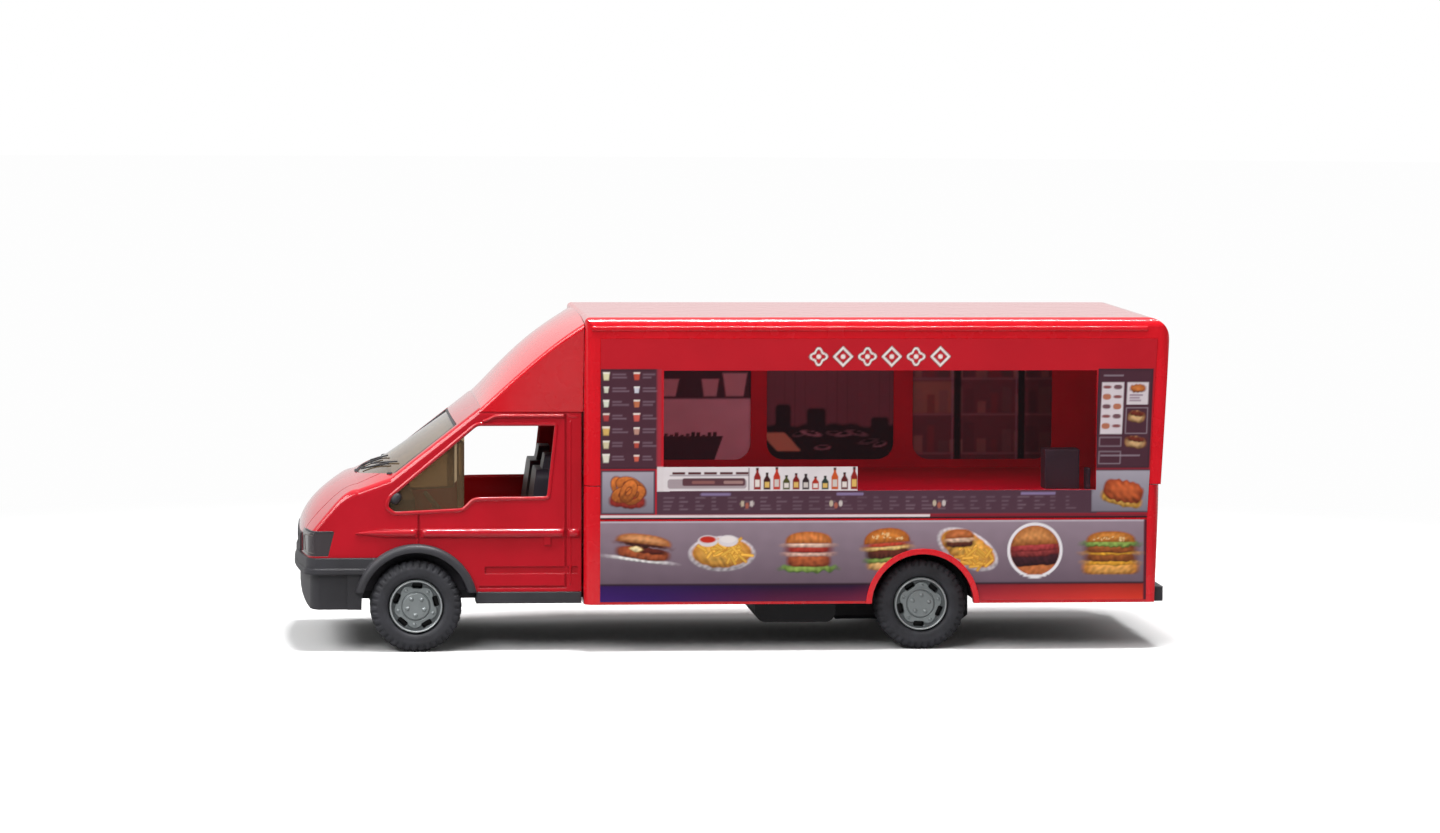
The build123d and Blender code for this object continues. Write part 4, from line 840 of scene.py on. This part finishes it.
for end in ("front", "rear"):
    for side, word in sides:
        low, high = nodeBox(end + "_hub_" + word)
        nearY, farY = sorted((abs(low[1]), abs(high[1])))
        points, ink = hubPoints(axleX[end], farY - 0.3, nearY, side, hub["turn"][end])
        count = hub["around"]
        faces = gridFaces(len(points) // count, count, closeColumns=True)
        caps = [list(range(count)), list(range(len(points) - 1, len(points) - 1 - count, -1))]
        settings = {"ink": ink, "replaced": [end + "_hub_" + word], "caps": caps}
        makePiece(end + "Hub_" + word, points, faces, hubSilver, end + "_wheels", "hub_silver", **settings)
print("hubs made")

# trim on the cab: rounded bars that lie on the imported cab, found by rays cast on its nodes
noseX = nodeBox("cab_shell")[0][0]
cabTrim = {"seal": 0.26, "wiperArm": 0.13, "wiperBlade": 0.12, "gutter": 0.24, "strip": 0.62}
cabTrim.update({"stripProud": 0.42, "post": 0.55, "edge": 0.2, "lampLine": 0.1, "lampBrow": 0.16})
cabTrim.update({"foot": 0.8, "bead": 0.3})


def drawnPath(corners, step=0.2, ease=4):
    # even steps along straight runs; each then moves halfway to its neighbours' mean, so corners round
    corners = np.asarray(corners, float)
    run = np.concatenate([[0], np.cumsum(np.linalg.norm(np.diff(corners, axis=0), axis=1))])
    t = np.linspace(0, run[-1], int(run[-1] / step) + 2)
    path = np.stack([np.interp(t, run, corners[:, k]) for k in range(corners.shape[1])], 1)
    for n in range(ease):
        path[1:-1] = 0.5 * path[1:-1] + 0.25 * (path[2:] + path[:-2])
    return path


def laidOn(nodeNames, starts, direction, lift):
    # each start moves along the direction to the nodes, then back by the lift
    points, polygons = [], []
    for nodeName in nodeNames:
        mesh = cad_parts[nodeName].data
        polygons += [[v + len(points) for v in face.vertices] for face in mesh.polygons]
        points += [v.co for v in mesh.vertices]
    tree, way = BVHTree.FromPolygons(points, polygons), Vector(direction)
    hits = [tree.ray_cast(Vector(start) * mm, way)[0] for start in starts]
    last = next(hit for hit in hits if hit is not None)
    laid = []
    for hit in hits:
        last = hit if hit is not None else last
        laid.append(np.array(last) / mm - lift * np.array(way))
    return np.array(laid)


def roundBar(name, path, radius, proud, up, material, slotName, around=14):
    # a piece of ellipses square to the path: radius sideways, radius times proud along up;
    # the ends close like a half ball
    along = np.gradient(path, axis=0)
    along /= np.linalg.norm(along, axis=1)[:, None]
    sideways = np.cross(along, up)
    sideways /= np.linalg.norm(sideways, axis=1)[:, None]
    lift = np.cross(sideways, along)
    run = np.concatenate([[0], np.cumsum(np.linalg.norm(np.diff(path, axis=0), axis=1))])
    radius = np.broadcast_to(np.asarray(radius, float), len(path))
    toEnd = np.minimum(run, run[-1] - run) / radius
    size = (radius * np.sqrt(np.clip(1 - np.clip(0.98 - toEnd, 0, 1) ** 2, 0, 1)))[:, None, None]
    turn = np.linspace(0, 2 * pi, around + 1)[:-1][None, :, None]
    across, outward = np.cos(turn) * sideways[:, None], proud * np.sin(turn) * lift[:, None]
    points = path[:, None] + size * (across + outward)
    count = len(path) * around
    caps = [list(range(around)), list(range(count - 1, count - around - 1, -1))]
    faces = gridFaces(len(path), around, closeColumns=True)
    makePiece(name, points.reshape(-1, 3), faces, material, "body", slotName, caps=caps)


def sideStarts(corners, side):  # (x from the nose, z) corners as ray starts beside the cab
    path = drawnPath(corners)
    return np.stack([noseX + path[:, 0], np.full(len(path), side * 30), path[:, 1]], 1)


def topStarts(path):  # (x from the nose, y) points as ray starts above the cab
    return np.stack([noseX + path[:, 0], path[:, 1], np.full(len(path), 45)], 1)


onCab = (enamel, "red_enamel", "cab_shell")
sideBars = {  # corners, name of the radius, then material, slot and the node they lie on
    "wingStrip": ([(8.6, 17.6), (12, 17.55), (17.2, 17.5)], "strip", onCab),
    "doorStrip": ([(17.95, 17.5), (39, 17.5)], "strip", onCab),
    "rearStrip": ([(39.6, 17.5), (41.3, 17.5)], "strip", onCab),
    "gutter": ([(26.9, 33.95), (27.9, 34.3), (28.7, 34.75), (30.2, 34.8), (39, 34.8)], "gutter", onCab),
    "gutterEnd": ([(39.5, 35.2), (39.55, 34.8), (39.9, 34.65), (41.2, 34.75)], "gutter", onCab),
    "doorEdge": ([(39.9, 9.7), (39.9, 34.2)], "edge", onCab),
    "mirrorFoot": ([(13.6, 21.9), (14.7, 23.5)], "foot", (grainBlack, "black_plastic", "cab_glazing")),
    "lampLine": ([(0.9, 14.6), (3.9, 14.6), (4.55, 17.2), (0.8, 17.2), (0.9, 14.6)], "lampLine",
        (silvered, "hub_silver", "headlamp_lenses")),
    "lampBrow": ([(0.5, 17.75), (5.1, 17.75)], "lampBrow",
        (grainBlack, "black_plastic", "headlamp_lenses")),
    "seamBead": ([(27.2, 35.62), (41.3, 35.7)], "gutter", onCab),
}
windowOutline = [  # x from the nose, and z; the first run comes twice, so that the bead's ends overlap
    (30, 22.55), (36.7, 22.6), (37.9, 33.6), (26.05, 33.6), (13.2, 22.9), (12.7, 21.3), (13.9, 20.4),
    (24.05, 20.9), (25.65, 22.5), (30, 22.55), (31, 22.56),
]
for side, word in sides:
    for barName, (corners, size, (material, slotName, barNode)) in sideBars.items():
        proud = cabTrim["stripProud"] / cabTrim["strip"] if size == "strip" else 1
        path = laidOn([barNode], sideStarts(corners, side), (0, -side, 0), -0.12)
        if barNode == "cab_shell":  # a tall bar leans evenly with the wall, a level one keeps one depth
            level = [0, np.median(side * path[:, 1])]
            if np.ptp(path[:, 2]) > 5:
                level = np.polyfit(path[:, 2], side * path[:, 1], 1)
            path[:, 1] = side * np.polyval(level, path[:, 2])
        radius = np.full(len(path), cabTrim[size])
        if barName == "wingStrip":
            radius = 0.08 + (cabTrim[size] - 0.08) * np.linspace(0, 1, len(path)) ** 0.7
        roundBar(barName + "_" + word, path, radius, proud, (0, side, 0), material, slotName)
    # bead round the opening of the door and quarter windows, on a wall that leans evenly
    path = drawnPath(windowOutline, ease=7)
    below, behind = (noseX + 20, side * 30, 18.9), (noseX + 38.6, side * 30, 30)
    levels = laidOn(["cab_shell"], np.array([below, behind]), (0, -side, 0), 0)
    slope = (levels[1][1] - levels[0][1]) / (levels[1][2] - levels[0][2])
    depth = levels[0][1] + slope * (path[:, 1] - levels[0][2]) - side * 0.05
    path = np.stack([noseX + path[:, 0], depth, path[:, 1]], 1)
    roundBar("windowBead_" + word, path, cabTrim["bead"], 0.75, (0, side, 0), enamel, "red_enamel")
    # post at the rear edge of the quarter light, of the same smoked resin
    starts = sideStarts([(23.7, 20.95), (23.7, 31.2)], side)
    path = laidOn(["cab_glazing"], starts, (0, -side, 0), 0.05)
    roundBar("quarterPost_" + word, path, cabTrim["post"], 0.6, (0, side, 0), smokedClear, "smoked_clear")

# rubber line round the windscreen: a loop through its corners, pressed on the edge of the opening
across = np.linspace(-1, 1, 61)[1:-1]
bottomArc = [(14 - 5.3 * (1 - a * a), 17.55 * a) for a in across]
topArc = [(23.05 - 0.35 * (1 - a * a), 16.95 * a) for a in -across]
loop = drawnPath(bottomArc + topArc + bottomArc[:2], 0.25, 3)
path = laidOn(["cab_shell", "cab_glazing"], topStarts(loop), (0, 0, -1), 0.05)
roundBar("screenSeal", path, cabTrim["seal"], 0.8, (0, 0, 1), grainBlack, "black_plastic", 10)
# wipers: drawn from above and laid on the windscreen, along its even slope
for barName, corners, size in (
    ("wiperArm_left", [(9.4, -1), (11.6, -6), (13.4, -10.2)], "wiperArm"),
    ("wiperBlade_left", [(10.9, -1.6), (12.8, -7), (14.6, -12.5)], "wiperBlade"),
    ("wiperArm_right", [(9.6, 6.5), (11.3, 1.6), (12.5, -2)], "wiperArm"),
    ("wiperBlade_right", [(11, 6.8), (12.2, 2), (13.4, -3.6)], "wiperBlade"),
):
    path = laidOn(["cab_glazing", "cab_shell"], topStarts(drawnPath(corners, 0.25)), (0, 0, -1), 0.22)
    path[:, 2] = np.polyval(np.polyfit(path[:, 0], path[:, 2], 1), path[:, 0])
    roundBar(barName, path, cabTrim[size], 1, (0, 0, 1), grainBlack, "black_plastic", 10)
print("cab trim laid")

# camera, floor and light
cameraChoices = {"lens": 126.4, "place": (-71.03, -762.3, 91.1), "turn": 5.3, "tip": 4.323, "roll": 0.289}
camera = inScene("camera", bpy.data.cameras.new("camera"))
camera.data.lens, camera.data.sensor_width = cameraChoices["lens"], 36
camera.data.clip_start, camera.data.clip_end = 0.01, 20
tip, turn = math.radians(90 - cameraChoices["tip"]), math.radians(-cameraChoices["turn"])
aim = Euler((tip, 0, turn)).to_matrix().to_4x4()
roll = Matrix.Rotation(math.radians(cameraChoices["roll"]), 4, "Z")
camera.matrix_world = Matrix.Translation([v * mm for v in cameraChoices["place"]]) @ aim @ roll
bpy.context.scene.camera = camera
bpy.context.scene.view_settings.view_transform = "Standard"

stage = {"radius": 3, "floor": "#ececec", "bounce": "#909090", "farWhite": 0.985}
stage.update({"fadeFrom": 0.10, "fadeTo": 0.24, "skyTop": 0.46, "skyLow": 0.38})
stage.update({"mirrorFar": 0.75, "mirrorNear": 0.08})


def raysSeen(tree, sideways):
    # direct is 1 for camera rays, and for rays through clear plastic that go to the back; mirrored is 1
    # for glossy and transmission rays
    ray = addNode(tree, "LightPath")
    behind = addNode(tree, "MapRange", {"Value": sideways, "From Min": -0.05, "From Max": 0.05})
    through = {0: ray.outputs["Is Transmission Ray"], 1: behind}
    both = {0: ray.outputs["Is Camera Ray"], 1: addNode(tree, "Math", through, operation="MULTIPLY")}
    mirrored = {0: ray.outputs["Is Glossy Ray"], 1: ray.outputs["Is Transmission Ray"]}
    return [addNode(tree, "Math", pair, operation="MAXIMUM") for pair in (both, mirrored)]


def roomStrength(tree, sideways, near, far):
    # what a mirror sees: the pale backdrop at the far side, a dim room at the near side
    dim = {"Value": sideways, "From Min": near, "From Max": far, "To Min": stage["mirrorNear"]}
    dim["To Max"] = stage["mirrorFar"]
    return addNode(tree, "MapRange", dim, interpolation_type="SMOOTHSTEP")


cardMaterial, tree = newTree("whiteCardFloor")
place = addNode(tree, "TexCoord").outputs["Object"]
away = addNode(tree, "VectorMath", {0: place}, operation="LENGTH")
rise = {"Value": away.outputs["Value"], "From Min": stage["fadeFrom"], "From Max": stage["fadeTo"]}
fade = addNode(tree, "MapRange", rise, interpolation_type="SMOOTHSTEP")
across = addNode(tree, "SeparateXYZ", {0: place}).outputs["Y"]
direct, mirrored = raysSeen(tree, across)
seen = addNode(tree, "Math", {0: direct, 1: mirrored}, operation="MAXIMUM")
shareSeen = addNode(tree, "Math", {0: fade, 1: seen}, operation="MULTIPLY")
room = roomStrength(tree, across, -0.10, 0.10)
glowStrength = addNode(tree, "Mix", {0: direct, 2: room, 3: stage["farWhite"]})
paper = {0: direct, 6: rgba(stage["bounce"]), 7: rgba(stage["floor"])}
paper = addNode(tree, "Mix", paper, data_type="RGBA").outputs[2]
matt = addNode(tree, "BsdfDiffuse", {"Color": paper})
glow = addNode(tree, "Emission", {"Color": (1, 1, 1, 1), "Strength": glowStrength})
addNode(tree, "OutputMaterial", {"Surface": addNode(tree, "MixShader", {0: shareSeen, 1: matt, 2: glow})})
ring = np.linspace(0, 2 * pi, 65)[:-1]
floorMesh = bpy.data.meshes.new("floor")
disc = np.stack([np.cos(ring), np.sin(ring), 0 * ring], 1) * stage["radius"]
floorMesh.from_pydata(disc, [], [list(range(len(ring)))])
floorMesh.materials.append(cardMaterial)
floor = inScene("floor", floorMesh)

world = bpy.data.worlds.new("studio")
bpy.context.scene.world = world
world.use_nodes = True
tree = world.node_tree
tree.nodes.clear()
way = addNode(tree, "SeparateXYZ", {0: addNode(tree, "TexCoord").outputs["Generated"]})
direct, mirrored = raysSeen(tree, way.outputs["Y"])
upward = {"Value": way.outputs["Z"], "To Min": stage["skyLow"], "To Max": stage["skyTop"]}
overhead = addNode(tree, "MapRange", upward)
lit = addNode(tree, "Background", {"Color": (1, 1, 1, 1), "Strength": overhead})
inMirror = roomStrength(tree, way.outputs["Y"], -0.6, 0.3)
room = addNode(tree, "Background", {"Color": (1, 1, 1, 1), "Strength": inMirror})
white = addNode(tree, "Background", {"Color": (1, 1, 1, 1), "Strength": 1})
sky = addNode(tree, "MixShader", {0: mirrored, 1: lit, 2: room})
sky = addNode(tree, "MixShader", {0: direct, 1: sky, 2: white})
addNode(tree, "OutputWorld", {"Surface": sky})

# soft boxes: name, place and size in metres, power in watts, and the place they shine at;
# the strips draw the bright lines along the edges, and the last one lights the kitchen
truck, kitchenWall = (0, 0, 0.02), (0.013, 0.018, 0.03)
softBoxes = []
for n in range(6):
    softBoxes.append(("overheadStrip" + str(n), (0.034 * n - 0.02, -0.12, 0.78), (0.012, 0.20), 1.2, truck))
softBoxes += [
    ("leftBox", (-0.55, -0.25, 0.6), (0.3, 0.3), 2.4, truck),
    ("frontBox", (-0.45, -0.8, 0.62), (0.5, 0.4), 4.4, truck),
    ("kitchenStrip", (0.013, -0.016, 0.0455), (0.06, 0.004), 0.0016, kitchenWall),
]
for boxName, place, size, power, target in softBoxes:
    light = bpy.data.lights.new(boxName, "AREA")
    light.shape, light.size, light.size_y, light.energy = "RECTANGLE", *size, power
    lamp = inScene(boxName, light)
    lamp.location = place
    lamp.rotation_euler = (Vector(target) - lamp.location).to_track_quat("-Z", "Y").to_euler()
print("camera, floor and", len(softBoxes), "soft boxes placed")
